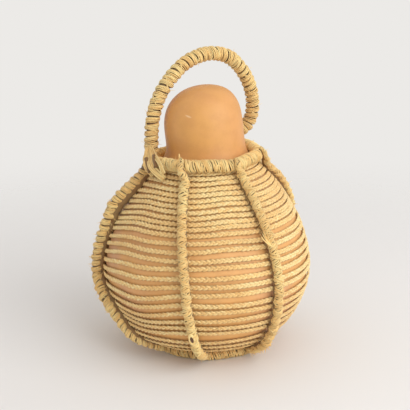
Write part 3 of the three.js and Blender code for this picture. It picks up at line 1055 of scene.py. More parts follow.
@dataclass(frozen=True)
class Wrapping:
    """Bands of straw wound round a core."""

    core: float  # radius of the core
    straws: int  # straws in a band
    straw_width: float
    straw_thick: float
    lead: float  # distance from one turn to the next, about
    hand: Hand = Hand.RIGHT
    sides: int = 5
    steps: int = 14
    stray: float = 0.0006  # how far each straw strays along the core
    sway: float = 0.0  # how far a whole band does
    pinch: float = 0.0  # share by which a band is drawn together here and there
    crown: float = 0.0  # how much higher the middle of a band lies than its edges
    lift: float = 0.0003  # how far each straw stands off the core here and there
    parted_shade: float = 0.0  # how much painted shade darkens the edges of a band, where they part
    crease_shade_range: tuple[float, float] = (0.2, 0.8)  # how much painted shade darkens the creases between straws
    overrun: float = 0.2  # share that stays of what runs past the ends of the core

    @property
    def band(self) -> float:
        """Width of a band of straws."""
        return self.straws * self.straw_width

    @property
    def reach(self) -> float:
        """Radius of the straws' middle."""
        return self.core + self.straw_thick / 2

    def wind(self, length: float, seed: int) -> bpy.types.Object:
        """Wind the straw round a straight core along X.

        Args:
            length: Length of the core.
            seed: Seed of its unevenness.

        Returns:
            The coil, straight, with the lie of its straw stored.
        """
        turns = max(1, round(length / self.lead))
        lead = length / turns
        upright = (math.pi / 2, 0, 0)
        bpy.ops.mesh.primitive_circle_add(vertices=self.sides, radius=0.5, rotation=upright)
        coil = added("coil")
        coil.scale = (self.straw_width, self.straw_thick, 1)
        bpy.ops.object.transform_apply(location=True, rotation=True, scale=True)
        bpy.ops.object.mode_set(mode="EDIT")
        bpy.ops.mesh.select_all(action="SELECT")
        start = (self.straw_width - self.band) / 2
        bpy.ops.transform.translate(value=(start, 0, self.reach))
        bpy.ops.object.mode_set(mode="OBJECT")
        array = coil.modifiers.new("straws", "ARRAY")
        array.use_relative_offset = False
        array.use_constant_offset = True
        array.constant_offset_displace = (self.straw_width, 0, 0)
        array.count = self.straws
        screw = coil.modifiers.new("turns", "SCREW")
        screw.axis = "X"
        screw.angle = TURN * self.hand.value
        screw.screw_offset = lead
        screw.iterations = turns
        screw.steps = screw.render_steps = self.steps
        apply_all(coil)
        close_up(coil)
        self._unsettle(coil, length, lead, seed)
        return coil

    def _unsettle(self, coil: bpy.types.Object, length: float, lead: float, seed: int) -> None:
        """Store the lie of a coil's straw and its painted shade, then make its turns uneven.

        Args:
            coil: The straight coil.
            length: Length of the core.
            lead: Distance from one turn to the next.
            seed: Seed of the unevenness.
        """
        co = coordinates(coil)
        angle = np.arctan2(-co[:, 1], co[:, 2]) * self.hand.value / TURN
        turn = np.round(co[:, 0] / lead - angle) + angle
        across = co[:, 0] - turn * lead
        straw = np.clip(np.floor((across + self.band / 2) / self.straw_width), 0, self.straws - 1)
        middle = (straw + 0.5) * self.straw_width - self.band / 2
        radius = np.hypot(co[:, 1], co[:, 2])
        turned = np.arctan2(across - middle, radius - self.reach) / TURN
        edge = np.abs(across) / (self.band / 2)
        total = turn * TURN
        # Painted shade: the creases between straws darken in patches, and the edges of a band darken where
        # the turns part.
        depths = np.random.default_rng(seed + 1).uniform(*self.crease_shade_range, self.straws)[straw.astype(int)]
        parted = smoothstep(Waver(seed + 3, (0.83, 1.9, 3.7))(total), -0.6, 0.25)
        patchy = 0.35 + 0.65 * smoothstep(Waver(seed + 4, (1.1, 2.6, 4.7))(total + straw), -0.3, 0.4)
        sunk = depths * patchy * smoothstep(np.abs(turned), 0.16, 0.34)
        shade = np.maximum(sunk, self.parted_shade * parted * smoothstep(edge, 0.8, 1))
        lay_fibres(coil, total * self.reach, turned, straw + seed, shade)
        drawn = 1 - self.pinch * (0.5 + 0.5 * Waver(seed + 7, (0.41, 1.13, 2.7))(total))
        along = turn * lead + across * drawn + self.sway * Waver(seed + 5, (0.29, 0.77, 1.37))(total)
        rise = self.crown * (1 - edge**2)
        kept = np.clip(along, 0, length)
        along = kept + self.overrun * (along - kept)
        for number in range(self.straws):
            mine = straw == number
            along[mine] += self.stray * Waver(seed + 11 * number, (0.37, 0.83, 1.9, 3.3))(total[mine])
            rise[mine] += self.lift * Waver(seed + 17 * number, (0.53, 1.7, 3.9))(total[mine])
        co[:, 0] = along
        co[:, 1:] *= (1 + rise / radius)[:, None]
        place(coil, co)


def core_rod(length: float, radius: float, sides: int = 10, step: float = 0.006) -> bpy.types.Object:
    """Model a bundle's core as a straight rod along X.

    Args:
        length: Length of the rod.
        radius: Its radius.
        sides: How many sides its section has.
        step: Distance between its rings.

    Returns:
        The rod.
    """
    quarter = (0, math.pi / 2, 0)
    bpy.ops.mesh.primitive_circle_add(vertices=sides, radius=radius, rotation=quarter)
    rod = added("core")
    bpy.ops.object.transform_apply(location=True, rotation=True, scale=True)
    screw = rod.modifiers.new("length", "SCREW")
    screw.axis = "X"
    screw.angle = 0
    screw.screw_offset = length
    screw.steps = screw.render_steps = max(2, round(length / step))
    close_up(apply_all(rod))
    co = coordinates(rod)
    turned = np.arctan2(co[:, 1], co[:, 2]) / TURN
    # Paint the whole core dark, as shade between the wrappings.
    lay_fibres(rod, co[:, 0], turned, np.zeros(len(co)), np.full(len(co), CORE_PAINTED_SHADE))
    return rod


@dataclass(frozen=True)
class Frays:
    """Loose ends of straw that stand out of a wrapping."""

    count: int
    length: tuple[float, float] = (0.004, 0.010)
    width: tuple[float, float] = (0.0005, 0.0009)
    lean: float = 0.45  # how steeply they stand off
    within: tuple[float, float] = (0.02, 0.98)  # shares of the wrapping's length
    rooted: float = 0.93  # share of the wrapping's radius at which they start
    rings: int = 5

    def grow(self, track: Track, thickness: Callable[[np.ndarray], np.ndarray], seed: int) -> list:
        """Grow the loose ends out of a wrapping.

        Args:
            track: Line of the wrapping.
            thickness: Its radius at shares of the line's length.
            seed: Seed of the random draw.

        Returns:
            The loose ends.
        """
        draw = np.random.default_rng(seed)
        ends = []
        for i in range(self.count):
            share, turn = draw.uniform(*self.within), draw.uniform(0, TURN)
            at = np.array([share * track.length])
            up, side, ahead = (track.at(at, rows)[0] for rows in (track.ups, track.sides, track.tangents))
            out = math.cos(turn) * up + math.sin(turn) * side
            around_it = np.cross(ahead, out)
            root = track.at(at, track.points)[0] + out * float(thickness(share)) * self.rooted
            way = draw.uniform(-1, 1) * ahead + draw.choice((-1, 1)) * draw.uniform(0.4, 1) * around_it
            way = way / np.linalg.norm(way) + out * self.lean * draw.uniform(0.4, 1)
            length, width = draw.uniform(*self.length), draw.uniform(*self.width)
            ends.append(loose_end(root, way, out, length, width, seed + i, self.rings))
        return ends


def loose_end(
    root: np.ndarray,
    way: Sequence[float],
    out: Sequence[float],
    length: float,
    width: float,
    tone: float,
    rings: int = 7,
) -> bpy.types.Object:
    """Model one loose, tapering end of straw.

    Args:
        root: Where it leaves the piece.
        way: Which way it goes.
        out: Which way it curls.
        length: Its length.
        width: Its width at the root.
        tone: Number that sets its tone.
        rings: How many steps it is drawn in.

    Returns:
        The loose end.
    """
    curl, taper = 0.18, 0.75
    way = np.array(way) / np.linalg.norm(way)
    middle = root + way * length * 0.5
    tip = root + way * length + np.array(out) * length * curl
    track = Track(smooth_line((root, middle, tip), 0, False, 6), outward=out)
    end = core_rod(track.length, width / 2, 4, track.length / rings)
    co = coordinates(end)
    share = co[:, 0] / track.length
    co[:, 1:] *= (1 - taper * share**2)[:, None]
    none = np.zeros(len(co))
    lay_fibres(end, co[:, 0], none, none + tone, none)
    place(end, track.bend(co))
    return end


def wrapped(
    name: str,
    track: Track,
    wrappings: Sequence[Wrapping],
    swell: Callable[[np.ndarray], np.ndarray],
    seed: int,
    frays: Sequence[Frays] = (),
    backing: float = 0.0,
    extras: Sequence[bpy.types.Object] = (),
) -> bpy.types.Object:
    """Wrap a core along a track.

    Args:
        name: Name of the piece.
        track: Line that the piece follows.
        wrappings: Its wrappings, the innermost first.
        swell: Thickness at shares of the length, as a share of the whole thickness.
        seed: Seed of its unevenness.
        frays: Its loose ends.
        backing: How far the core reaches in beyond its wrapping, to what it lies on, where its dark core
            shows as painted shadow.
        extras: Further objects in their places, which become part of the piece.

    Returns:
        The piece.
    """
    core = core_rod(track.length, wrappings[0].core)
    co = coordinates(core)
    # The core's inner side reaches in and widens, so its dark colour shows as painted shadow where the
    # wrapping meets what it lies on.
    inner = co[:, 2] < 0
    co[inner, 2] *= 1 + backing / wrappings[0].core
    if backing:
        co[inner, 1] *= BACKING_WIDENS
    place(core, co)
    layers = [core]
    for i, wrapping in enumerate(wrappings):
        layers.append(wrapping.wind(track.length, seed + 100 * i))
    for layer in layers:
        co = coordinates(layer)
        co[:, 1:] *= swell(co[:, 0] / track.length)[:, None]
        place(layer, track.bend(co))
    outermost = wrappings[0].core + wrappings[0].straw_thick
    for i, loose in enumerate(frays):
        layers += loose.grow(track, lambda share: outermost * swell(np.array(share)), seed + 50 * i)
    return joined(name, [*layers, *extras])


def strap(
    knots: Sequence[tuple[float, float, float]], layout: Layout, outward: Sequence, straws: int, tone: int
) -> list[bpy.types.Object]:
    """Lay a flat strap of a few straws side by side through points.

    Args:
        knots: Points of the straight layout that it passes through.
        layout: The shared layout.
        outward: Direction that its broad side faces at the start.
        straws: How many straws it has.
        tone: Number that sets its tone.

    Returns:
        The straws.
    """
    width, thick, sides, step = 0.0023, 0.0019, 8, 0.0025
    stray, lift = 0.0005, 0.0004
    crease_shade = 0.7
    track = Track(layout.settle(smooth_line(knots, 0.5, False)), outward=outward)
    made = []
    for i in range(straws):
        straw = core_rod(track.length, 0.5, sides, step)
        co = coordinates(straw)
        share = co[:, 0] / track.length
        turned = np.arctan2(co[:, 1], co[:, 2]) / TURN
        number = np.full(len(co), tone + 3 * i, float)
        # Painted shade on the sides of each straw, in the creases between them.
        shade = crease_shade * smoothstep(np.abs(turned), 0.18, 0.34)
        lay_fibres(straw, co[:, 0], turned, number, shade)
        waver = Waver(tone + i, (0.5, 1.1, 2.3))
        middle = (i - (straws - 1) / 2) * width + stray * waver(TURN * share)
        co[:, 1] = co[:, 1] * width + middle
        co[:, 2] = co[:, 2] * thick + lift * waver(5 + TURN * share)
        place(straw, track.bend(co))
        made.append(straw)
    return made


def eyelet(track: Track, share: float, reach: float, tone: int) -> list[bpy.types.Object]:
    """Model a small eye of straw on the outer side of a wrapping, with a dark piece of painted shade in its
    hollow.

    Args:
        track: Line of the wrapping.
        share: Where it lies, as a share of the line's length.
        reach: How far it lies off the line.
        tone: Number that sets its tone.

    Returns:
        The rim and the dark piece of painted shade in its hollow.
    """
    rim_radius, rim_thick, hollow_radius, hollow_depth = 0.0034, 0.0013, 0.0028, 0.5
    wide, long, grain = 0.9, 2.3, 0.02
    at = np.array([share * track.length])
    middle, up, side, ahead = (
        track.at(at, rows)[0] for rows in (track.points, track.ups, track.sides, track.tangents)
    )
    bpy.ops.mesh.primitive_torus_add(
        major_segments=20, minor_segments=8, major_radius=rim_radius, minor_radius=rim_thick
    )
    rim = added("eye_rim")
    bpy.ops.mesh.primitive_uv_sphere_add(segments=16, ring_count=8, radius=hollow_radius)
    shaded_hollow = added("eye_shade")
    # The rim keeps its straw colour; the piece in the hollow is painted fully dark, as shade.
    for piece, depth, shade in ((rim, 1.0, 0.0), (shaded_hollow, hollow_depth, 1.0)):
        co = coordinates(piece)
        turned = np.arctan2(co[:, 1], co[:, 0]) / TURN
        number = np.full(len(co), tone, float)
        lay_fibres(piece, turned * grain, turned, number, np.full(len(co), shade))
        off = np.outer(reach + co[:, 2] * depth, up)
        across = np.outer(co[:, 0] * wide, side)
        place(piece, middle + off + across + np.outer(co[:, 1] * long, ahead))
        close_up(piece)
    return [rim, shaded_hollow]


def tuft(track: Track, share: float, reach: float, seed: int) -> list[bpy.types.Object]:
    """Model a fan of loose ends that stands up to the left of a wrapping.

    Args:
        track: Line of the wrapping.
        share: Where it grows out, as a share of the line's length.
        reach: Radius of the wrapping.
        seed: Seed of the random draw.

    Returns:
        The loose ends.
    """
    count, nearest, fan, drop = 9, 0.4, 0.9, 0.003
    rises, lengths, widths = (0.15, 0.45), (0.021, 0.030), (0.0011, 0.0017)
    draw = np.random.default_rng(seed)
    at = np.array([share * track.length])
    middle, up, ahead = (track.at(at, rows)[0] for rows in (track.points, track.ups, track.tangents))
    left = np.cross(up, ahead)
    left = left if left[0] < 0 else -left
    ends = []
    for i in range(count):
        spread = i / (count - 1)
        way = ahead + left * (nearest + fan * spread) + up * draw.uniform(*rises)
        root = middle + left * reach * 0.8 + up * reach * 0.75 - ahead * drop * spread
        length, width = draw.uniform(*lengths), draw.uniform(*widths)
        ends.append(loose_end(root, way, up, length, width, seed + 5 * i))
    return ends


def pressed(piece: bpy.types.Object, press: float = 0.0016) -> bpy.types.Object:
    """Press the underside of a piece flat where it stands on the ground.

    Args:
        piece: The piece.
        press: Height below which it is pressed.

    Returns:
        The same piece.
    """
    co = coordinates(piece)
    z = co[:, 2]
    co[:, 2] = np.where(z < press, press * np.exp(np.minimum(0, z - press) / press), z)
    place(piece, co)
    return piece


@dataclass(frozen=True)
class Ring:
    """A straw-wrapped hoop: widest at the ribs and nearly straight between them."""

    name: str
    node: str
    corner: float  # radius at the ribs
    flat: float  # how far it comes in between them
    height: float
    thick: float
    corners: tuple[float, ...]  # azimuths of the ribs
    wrappings: tuple[Wrapping, ...]
    frays: tuple[Frays, ...]
    seed: int
    lifts: tuple[tuple[float, float], ...] = ((0, 0.0),)  # azimuths, and how far it rides up
    uneven: float = 0.035  # share of its thickness
    wisp: float | None = None  # azimuth of a broad loose end that stands upright on it
    wisp_size: tuple[float, float] = (0.0115, 0.0034)  # its length and width

    def radius(self, azimuth: np.ndarray) -> np.ndarray:
        """Find the radius of the ring's middle line.

        Args:
            azimuth: Azimuths in degrees.

        Returns:
            The radii.
        """
        corners = np.sort(np.mod(self.corners, 360))
        azimuth = np.mod(azimuth, 360)
        after = np.searchsorted(corners, azimuth, side="right") % len(corners)
        before = corners[after - 1]
        span = np.mod(corners[after] - before, 360)
        share = np.mod(azimuth - before, 360) / span
        return self.corner - self.flat * np.sin(math.pi * share) ** 2

    def level(self, azimuth: np.ndarray) -> np.ndarray:
        """Find the height of the ring's middle line.

        Args:
            azimuth: Azimuths in degrees.

        Returns:
            The heights.
        """
        at, lift = np.array(self.lifts, float).T
        azimuth = np.mod(azimuth, 360)
        after = np.searchsorted(at, azimuth, side="right") % len(at)
        before = after - 1
        span = np.mod(at[after] - at[before], 360)
        share = np.mod(azimuth - at[before], 360) / np.where(span > 0, span, 360)
        return self.height + lift[before] + (lift[after] - lift[before]) * (1 - np.cos(math.pi * share)) / 2

    def track(self, layout: Layout) -> Track:
        """Draw the line that the ring's core follows, from the back round to the back.

        Args:
            layout: The shared layout.

        Returns:
            The line.
        """
        azimuth = np.linspace(180, 540, 361)
        points = around(self.radius(azimuth), np.radians(azimuth), self.level(azimuth))
        return Track(layout.settle(points), outward=(0, 1, 0), closed=True)

    def build(self, layout: Layout, material: bpy.types.Material) -> None:
        """Wrap the ring.

        Args:
            layout: The shared layout.
            material: Finish of the straw.
        """
        waver = Waver(self.seed, (5, 9, 17))
        swell = lambda share: 1 + self.uneven * waver(TURN * share)
        track = self.track(layout)
        extras = []
        if self.wisp is not None:
            at = np.array(self.wisp)
            foot = around(self.radius(at), np.radians(at), self.level(at) + self.thick * 0.6)
            root = layout.settle(foot)[0]
            extras.append(loose_end(root, (-0.05, 0, 1), (0, -1, 0), *self.wisp_size, self.seed))
        ring = wrapped(self.name, track, self.wrappings, swell, self.seed, self.frays, extras=extras)
        finish_piece(pressed(ring), Slot.STRAW, material, self.node)


@dataclass(frozen=True)
class Rib:
    """A straw-wrapped bundle that climbs over the courses from the base ring to the neck ring."""

    node: str
    neck: float  # azimuths at the neck ring, on the belly and at the base ring
    belly: float
    base: float
    seed: int
    swing: float = 2.0  # how late it turns from the belly's azimuth to the neck's
    bow: float = 0.0  # how far it stands out below the shoulder
    thick: float = 0.0059
    tail: float = 1.0  # thickness at the foot, as a share of the whole
    lashed: bool = False  # whether it ends under the neck ring, and not over it
    beads: int = 22
    bead_depth: float = 0.07
    bead_crown: float = 0.1
    frays: tuple[Frays, ...] = (Frays(34),)
    eyelet_at: float | None = None  # share of its length
    tuft_at: float | None = None
    # Radius and height of the points at its ends.
    foot: tuple[tuple[float, float], ...] = ((0.0775, 0.0110), (0.0835, 0.0150))
    over_ring: tuple[tuple[float, float], ...] = ((0.0848, 0.2672), (0.0846, 0.2762), (0.0785, 0.2829))
    lashed_top: tuple[tuple[float, float], ...] = ((0.088, 0.2625),)
    straight: tuple[float, float] = (0.110, 0.120)  # heights between which it doesn't turn
    tail_grows: tuple[float, float] = (0.1, 0.42)  # shares of its length
    foot_share: float = 0.1  # share of its length below the first course
    bow_height: float = 0.213
    bow_reach: float = 0.020
    bow_way: tuple[float, float] = (0.8, 0.6)  # outward and up
    stations: int = 12
    margins: tuple[float, float] = (0.025, 0.012)  # shares of the outline left at its ends
    course_thick: float = 0.004
    ring_height: float = 0.273
    backing: float = 0.0035  # how far its core reaches in to the courses, where it shows as painted shadow beside the rib

    def _azimuth(self, height: np.ndarray) -> np.ndarray:
        """Find which way the rib lies.

        Args:
            height: Heights.

        Returns:
            Its azimuths there, in degrees.
        """
        to_base = np.clip((self.straight[0] - height) / self.straight[0], 0, 1)
        to_neck = np.clip((height - self.straight[1]) / (self.ring_height - self.straight[1]), 0, 1)
        low = self.belly + (self.base - self.belly) * to_base
        return low + (self.neck - low) * to_neck**self.swing

    def _fullness(self, share: np.ndarray) -> np.ndarray:
        """Thickness at shares of the length, before beads and ends, as a share of the whole."""
        return self.tail + (1 - self.tail) * smoothstep(share, *self.tail_grows)

    def track(self, courses: Courses, ring: Ring) -> Track:
        """Line that the rib's core follows, from its foot up.

        Args:
            courses: The courses that it climbs over.
            ring: The neck ring that it ends at.

        Returns:
            The line.
        """
        outline = courses.outline
        along = np.linspace(0, 1, self.stations + 1)
        radius = self.thick * self._fullness(self.foot_share + (1 - self.foot_share) * along)
        stand_off = 2 * courses.clearance + self.course_thick + radius * (1 + self.bead_depth)
        first = outline.share_near(*courses.lowest) + self.margins[0]
        last = courses.spots()[-1][0] - self.margins[1]
        r, z = outline.off_skin(first + (last - first) * along, 0, stand_off)
        bow = self.bow * np.exp(-(((z - self.bow_height) / self.bow_reach) ** 2))
        climb = np.column_stack((r + bow * self.bow_way[0], z + bow * self.bow_way[1]))
        lift = float(ring.level(np.array(self.neck))) - ring.height
        top = np.array(self.lashed_top if self.lashed else self.over_ring) + (0, lift)
        line = smooth_line(np.vstack((self.foot, climb, top)), 0, True)
        azimuth = np.radians(self._azimuth(line[:, 1]))
        points = around(line[:, 0], azimuth, line[:, 1])
        way = np.gradient(line, axis=0)
        outward = around(way[:, 1], azimuth, -way[:, 0])
        return Track(courses.layout.settle(points), outward=outward)

    def _swell(self, share: np.ndarray) -> np.ndarray:
        """Find the rib's thickness, which is drawn in between the courses and at both ends.

        Args:
            share: Shares of its length.

        Returns:
            The thickness there, as a share of the whole.
        """
        bead = self.bead_crown * np.cos(TURN * self.beads * share)
        foot = 0.8 + 0.2 * smoothstep(share, 0, 0.06)
        top = 0.85 if self.lashed else 0.55
        top = top + (1 - top) * smoothstep(1 - share, 0, 0.1)
        return (1 - bead) * foot * top * self._fullness(share)

    def _wrappings(self) -> tuple[Wrapping, ...]:
        """Choose beads with painted shade in their joints for a rib that bows out, and long slanting straws
        for the rest.

        Returns:
            The wrappings, the innermost first.
        """
        core = self.thick - 0.0021
        if self.bow:
            crowned = {"sway": 0.0010, "pinch": 0.07, "crown": 0.0016, "parted_shade": 0.9}
            return (
                Wrapping(core, 4, 0.0021, 0.0019, 0.0088, **crowned),
                Wrapping(core + 0.0010, 1, 0.0019, 0.0014, 0.034, Hand.LEFT, stray=0.003),
            )
        loose = {"steps": 18, "stray": 0.0014, "lift": 0.0007}
        return (
            Wrapping(core, 6, 0.0023, 0.0020, 0.0142, steps=18, stray=0.0009, lift=0.0006, parted_shade=0.5),
            Wrapping(core + 0.0009, 3, 0.0021, 0.0016, 0.0150, Hand.LEFT, **loose),
        )

    def build(self, courses: Courses, ring: Ring, material: bpy.types.Material) -> None:
        """Wrap the rib.

        Args:
            courses: The courses that it climbs over.
            ring: The neck ring that it ends at.
            material: Finish of the straw.
        """
        track = self.track(courses, ring)
        extras = []
        if self.eyelet_at is not None:
            extras += eyelet(track, self.eyelet_at, self.thick + 0.0014, self.seed)
        if self.tuft_at is not None:
            extras += tuft(track, self.tuft_at, self.thick, self.seed)
        name = f"{self.node}_straw"
        wrappings = self._wrappings()
        rib = wrapped(name, track, wrappings, self._swell, self.seed, self.frays, self.backing, extras)
        finish_piece(pressed(rib), Slot.STRAW, material, self.node)


@dataclass(frozen=True)
class Handle:
    """The arched handle: a stiff wrapped bundle, lashed round the neck ring at both feet."""

    ring: Ring
    feet: tuple[float, float] = (-75, 142)  # azimuths
    line: tuple[tuple[float, float], ...] = (  # shares of the way between the feet, and heights
        (0.02, 0.2835), (0.022, 0.303), (0.042, 0.327), (0.132, 0.358), (0.326, 0.3863),
        (0.485, 0.3978), (0.69, 0.4020), (0.908, 0.394), (1.055, 0.376), (1.157, 0.354),
        (1.205, 0.330), (1.198, 0.309), (1.14, 0.2955), (1.03, 0.2875),
    )  # fmt: skip
    thick: float = 0.0093
    seed: int = 900
    turns: int = 4
    splay: float = 0.22
    loop_gap: float = 0.0006
    loop_width: float = 0.0044
    loop_thick: float = 0.0021
    loop_spacing: float = 0.0047
    rise: float = 1.6  # how much taller the loops are than round, above the ring and below it
    hang: float = 1.3
    uneven: float = 0.02  # share of the arch's thickness
    hollow_radius: float = 0.0026
    # Straps at the left foot: how many straws each has, and the points that it passes through.
    front_straps: tuple[tuple[int, tuple[tuple[float, float, float], ...]], ...] = (
        (4, ((-0.0720, -0.0230, 0.2920), (-0.0705, -0.0340, 0.2800), (-0.0680, -0.0510, 0.2725),
             (-0.0638, -0.0560, 0.2665), (-0.0590, -0.0590, 0.2605), (-0.0545, -0.0580, 0.2560))),
        (2, ((-0.0745, -0.0220, 0.2920), (-0.0760, -0.0320, 0.2800), (-0.0768, -0.0400, 0.2700),
             (-0.0745, -0.0440, 0.2630), (-0.0700, -0.0470, 0.2570))),
        (3, ((-0.0690, -0.0240, 0.2920), (-0.0640, -0.0380, 0.2840), (-0.0575, -0.0580, 0.2805),
             (-0.0530, -0.0680, 0.2740), (-0.0515, -0.0700, 0.2660))),
    )  # fmt: skip
    # Ends of the dark rods of painted shade in the hollows between the straps.
    shaded_hollows: tuple[tuple[tuple[float, float, float], ...], ...] = (
        ((-0.0640, -0.0400, 0.2830), (-0.0610, -0.0570, 0.2720)),
        ((-0.0748, -0.0350, 0.2790), (-0.0728, -0.0460, 0.2620)),
    )

    def track(self, layout: Layout) -> Track:
        """Draw the line that the arch follows, from its left foot over to its right.

        Args:
            layout: The shared layout.

        Returns:
            The line.
        """
        ends = around(self.ring.corner, np.radians(self.feet), 0)
        knots = []
        for share, height in self.line:
            x, y, _ = ends[0] + (ends[1] - ends[0]) * share
            knots.append((x, y, height))
        return Track(layout.settle(smooth_line(knots, 0.5, False)))

    def _lashing(self, layout: Layout, azimuth: float) -> list:
        """Bind one foot to the neck ring with turns of straw, two straws wide.

        Args:
            layout: The shared layout.
            azimuth: Azimuth of the foot, in degrees.

        Returns:
            The turns.
        """
        reach = self.ring.thick + self.loop_gap + self.loop_thick / 2
        made = []
        straw = self.loop_width / 2
        for i in range(2 * self.turns):
            bpy.ops.mesh.primitive_torus_add(
                major_segments=28, minor_segments=6, major_radius=reach, minor_radius=straw / 2
            )
            loop = added("lashing")
            co = coordinates(loop)
            out = np.hypot(co[:, 0], co[:, 1])
            angle = np.arctan2(co[:, 1], co[:, 0])
            turned = np.arctan2(co[:, 2], out - reach) / TURN
            tone = np.full(len(co), self.seed + i, float)
            # Painted shade on the sides of each loop's straw.
            lay_fibres(loop, angle * reach, turned, tone, 0.8 * smoothstep(np.abs(turned), 0.2, 0.4))
            thin = reach + (out - reach) * self.loop_thick / straw
            across = np.cos(angle) * thin
            up = np.sin(angle) * thin
            splay = 1 + self.splay * np.clip(-up / reach, 0, 1)
            pair, half = divmod(i, 2)
            along = (pair - (self.turns - 1) / 2) * self.loop_spacing + (half - 0.5) * straw
            along = along * splay + co[:, 2]
            at = azimuth + math.degrees(1) * along / self.ring.corner
            up = np.where(up > 0, up * self.rise, up * self.hang)
            points = around(self.ring.radius(at) + across, np.radians(at), self.ring.level(at) + up)
            place(loop, layout.settle(points))
            made.append(close_up(loop))
        return made

    def build(self, layout: Layout, material: bpy.types.Material) -> None:
        """Wrap the arch and bind its feet.

        Args:
            layout: The shared layout.
            material: Finish of the straw.
        """
        core = self.thick - 0.0027
        crowned = {"steps": 18, "sway": 0.0009, "pinch": 0.08, "crown": 0.0016, "parted_shade": 0.9}
        loose = {"steps": 20, "stray": 0.004, "lift": 0.0004}
        band = Wrapping(core, 4, 0.0020, 0.0019, 0.0084, **crowned)
        over = Wrapping(core + 0.0012, 2, 0.0018, 0.0012, 0.030, Hand.LEFT, **loose)
        waver = Waver(self.seed, (7, 13))
        track = self.track(layout)
        swell = lambda share: 1 + self.uneven * waver(TURN * share)
        feet = self._lashing(layout, self.feet[1])
        for i, (straws, knots) in enumerate(self.front_straps):
            feet += strap(knots, layout, (-0.5, -1, 0), straws, self.seed + 10 * i)
        # Dark core rods, painted with shade, stand in the hollows between the straps.
        for ends in self.shaded_hollows:
            shaded_hollow = Track(layout.settle(np.array(ends)))
            dark = core_rod(shaded_hollow.length, self.hollow_radius, step=0.003)
            place(dark, shaded_hollow.bend(coordinates(dark)))
            feet.append(dark)
        arch = wrapped("handle_straw", track, (band, over), swell, self.seed, (Frays(50),), extras=feet)
        finish_piece(arch, Slot.STRAW, material, "handle")


@dataclass(frozen=True)
class Studio:
    """A plain pale floor that fades into the backdrop, soft studio light and the camera."""

    layout: Layout
    aim: tuple[float, float, float] = (-0.0020, 0.0, 0.2010)
    distance: float = 1.233
    drop: float = 15.5  # how steeply the camera looks down, in degrees
    lens: float = 79.02
    sensor: float = 36.0
    floor_size: float = 8.0
    floor_tone: tuple[int, int, int] = (232, 230, 228)
    floor_fades: tuple[float, float] = (0.35, 1.3)
    backdrop: tuple[int, int, int] = (236, 234, 231)
    fill_tone: tuple[int, int, int] = (246, 244, 242)
    fill_strength: float = 0.84
    key_place: tuple[float, float, float] = (1.45, -1.35, 1.25)
    key_size: float = 2.3
    key_power: float = 37.0

    def build(self) -> None:
        """Set up the camera, the floor and the lights."""
        self._camera()
        self._floor()
        self._lights()
        bpy.context.scene.view_settings.view_transform = "Standard"

    def _aim(self) -> Vector:
        """Point of the frame that the camera looks at."""
        return self.layout.origin + Vector(self.aim)

    def _camera(self) -> None:
        """Stand the camera where the photograph was taken from."""
        a = math.radians(self.drop)
        eye = self._aim() + self.distance * Vector((0, -math.cos(a), math.sin(a)))
        bpy.ops.object.camera_add(location=eye, rotation=(math.pi / 2 - a, 0, 0))
        camera = bpy.context.active_object
        camera.name = "camera"
        camera.data.lens = self.lens
        camera.data.sensor_width = self.sensor
        bpy.context.scene.camera = camera

    def _floor(self) -> None:
        """Lay a pale floor that fades out with distance."""
        bpy.ops.mesh.primitive_plane_add(size=self.floor_size)
        floor = added("floor")
        paint = bpy.data.materials.new("pale_floor")
        paint.use_nodes = True
        bsdf = paint.node_tree.nodes["Principled BSDF"]
        bsdf.inputs["Base Color"].default_value = linear(*self.floor_tone)
        bsdf.inputs["Roughness"].default_value = 0.9
        shader = Shader(paint.node_tree)
        place_of = shader.add("TexCoord").outputs["Object"]
        distance = shader.add("VectorMath", {0: place_of}, operation="LENGTH").outputs["Value"]
        near = shader.math("SUBTRACT", 1.0, shader.band(distance, *self.floor_fades))
        paint.node_tree.links.new(near, bsdf.inputs["Alpha"])
        floor.data.materials.append(paint)

    def _lights(self) -> None:
        """Light the part softly from the front right, with a pale fill all round."""
        world = bpy.data.worlds.new("studio")
        world.use_nodes = True
        shader = Shader(world.node_tree)
        fill = world.node_tree.nodes["Background"]
        fill.inputs["Color"].default_value = linear(*self.fill_tone)
        fill.inputs["Strength"].default_value = self.fill_strength
        plain = shader.add("Background", {"Color": linear(*self.backdrop), "Strength": 1.0})
        seen = shader.add("LightPath").outputs["Is Camera Ray"]
        mixed = shader.add("MixShader", {0: seen, 1: fill.outputs[0], 2: plain.outputs[0]})
        world.node_tree.links.new(mixed.outputs[0], world.node_tree.nodes["World Output"].inputs["Surface"])
        bpy.context.scene.world = world
        bpy.ops.object.light_add(type="AREA", location=self.key_place)
        key = bpy.context.active_object
        key.name = "key_light"
        key.data.size = self.key_size
        key.data.energy = self.key_power
        towards = self._aim() - Vector(self.key_place)
        key.rotation_euler = towards.to_track_quat("-Z", "Y").to_euler()


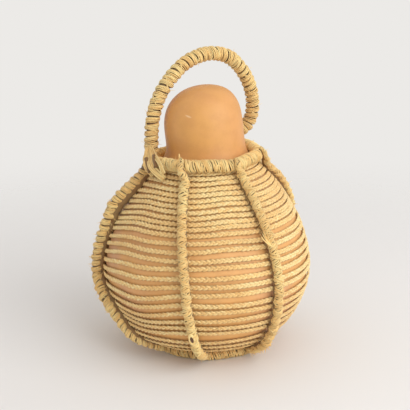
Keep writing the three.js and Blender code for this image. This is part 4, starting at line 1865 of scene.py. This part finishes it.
def main() -> None:
    """Build the gourd and its basket, in the order in which they are put together."""
    logging.basicConfig(level=logging.INFO, format="%(name)s %(message)s")
    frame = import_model()
    layout = Layout.of_frame(frame["nodes"]["gourd"])
    Studio(layout).build()
    mottle, fibre = mottle_group(), fibre_group()
    plaited = StrawFinish("plaited_straw").material(fibre, mottle)
    wound = StrawFinish("wound_straw", pale=(255, 234, 164), mid=(255, 216, 138)).material(fibre, mottle)
    skin = GourdSkin(layout)
    skin.build(SkinFinish().material(mottle))
    courses = Courses(layout, skin.outline)
    courses.build(plaited)
    tied = (Frays(40), Frays(60, (0.004, 0.009), (0.0006, 0.0011), within=(0.3, 0.75)))
    brushed = (Frays(34), Frays(90, (0.004, 0.009), (0.0008, 0.0014), 0.25, (0.02, 0.22)))
    bound = {"bow": 0.0065, "thick": 0.0068, "tail": 0.62, "backing": 0.009}
    ribs = (
        Rib("rib_left", -73, -81, -35, 310, lashed=True, frays=tied, **bound),
        Rib("rib_front_left", -20, -9.6, -3.5, 320, swing=1.3, eyelet_at=0.268),
        Rib("rib_front_right", 32, 37.5, 42, 330, tuft_at=0.625, frays=brushed),
        Rib("rib_right", 76, 124, 122, 340, swing=1.8, thick=0.0044, backing=0.006),
        Rib("rib_back_right", 145, 168, 165, 350, lashed=True),
        Rib("rib_back_left", 213, 221, 225, 360),
    )
    base_core, neck_core = 0.0042, 0.0056
    loose = {"stray": 0.003, "lift": 0.0006}
    close = {"stray": 0.0011, "lift": 0.0006, "parted_shade": 0.7}
    base_ring = Ring(
        "base_ring_straw",
        "base_ring",
        corner=0.074,
        flat=0.002,
        height=0.0112,
        thick=0.0064,
        corners=tuple(rib.base for rib in ribs),
        wrappings=(
            Wrapping(base_core, 5, 0.0021, 0.0021, 0.0110, crown=0.0009, **close),
            Wrapping(base_core + 0.0010, 1, 0.0019, 0.0014, 0.019, Hand.LEFT, **loose),
        ),
        frays=(Frays(110, (0.003, 0.007)), Frays(130, (0.004, 0.008), (0.0008, 0.0014), 0.2)),
        seed=400,
    )
    neck_ring = Ring(
        "neck_ring_straw",
        "neck_ring",
        corner=0.0735,
        flat=0.003,
        height=0.273,
        thick=0.0078,
        corners=tuple(rib.neck for rib in ribs),
        wrappings=(
            Wrapping(neck_core, 5, 0.0023, 0.0022, 0.0117, crown=0.0010, **close),
            Wrapping(neck_core + 0.0011, 2, 0.0020, 0.0015, 0.019, Hand.LEFT, steps=16, **loose),
        ),
        frays=(Frays(70, (0.003, 0.007)),),
        seed=500,
        wisp=-24.0,
        lifts=NECK_RING_LIFTS,
    )
    for rib in ribs:
        rib.build(courses, neck_ring, wound)
    base_ring.build(layout, wound)
    neck_ring.build(layout, wound)
    Handle(neck_ring).build(layout, wound)


if __name__ == "__main__":
    main()
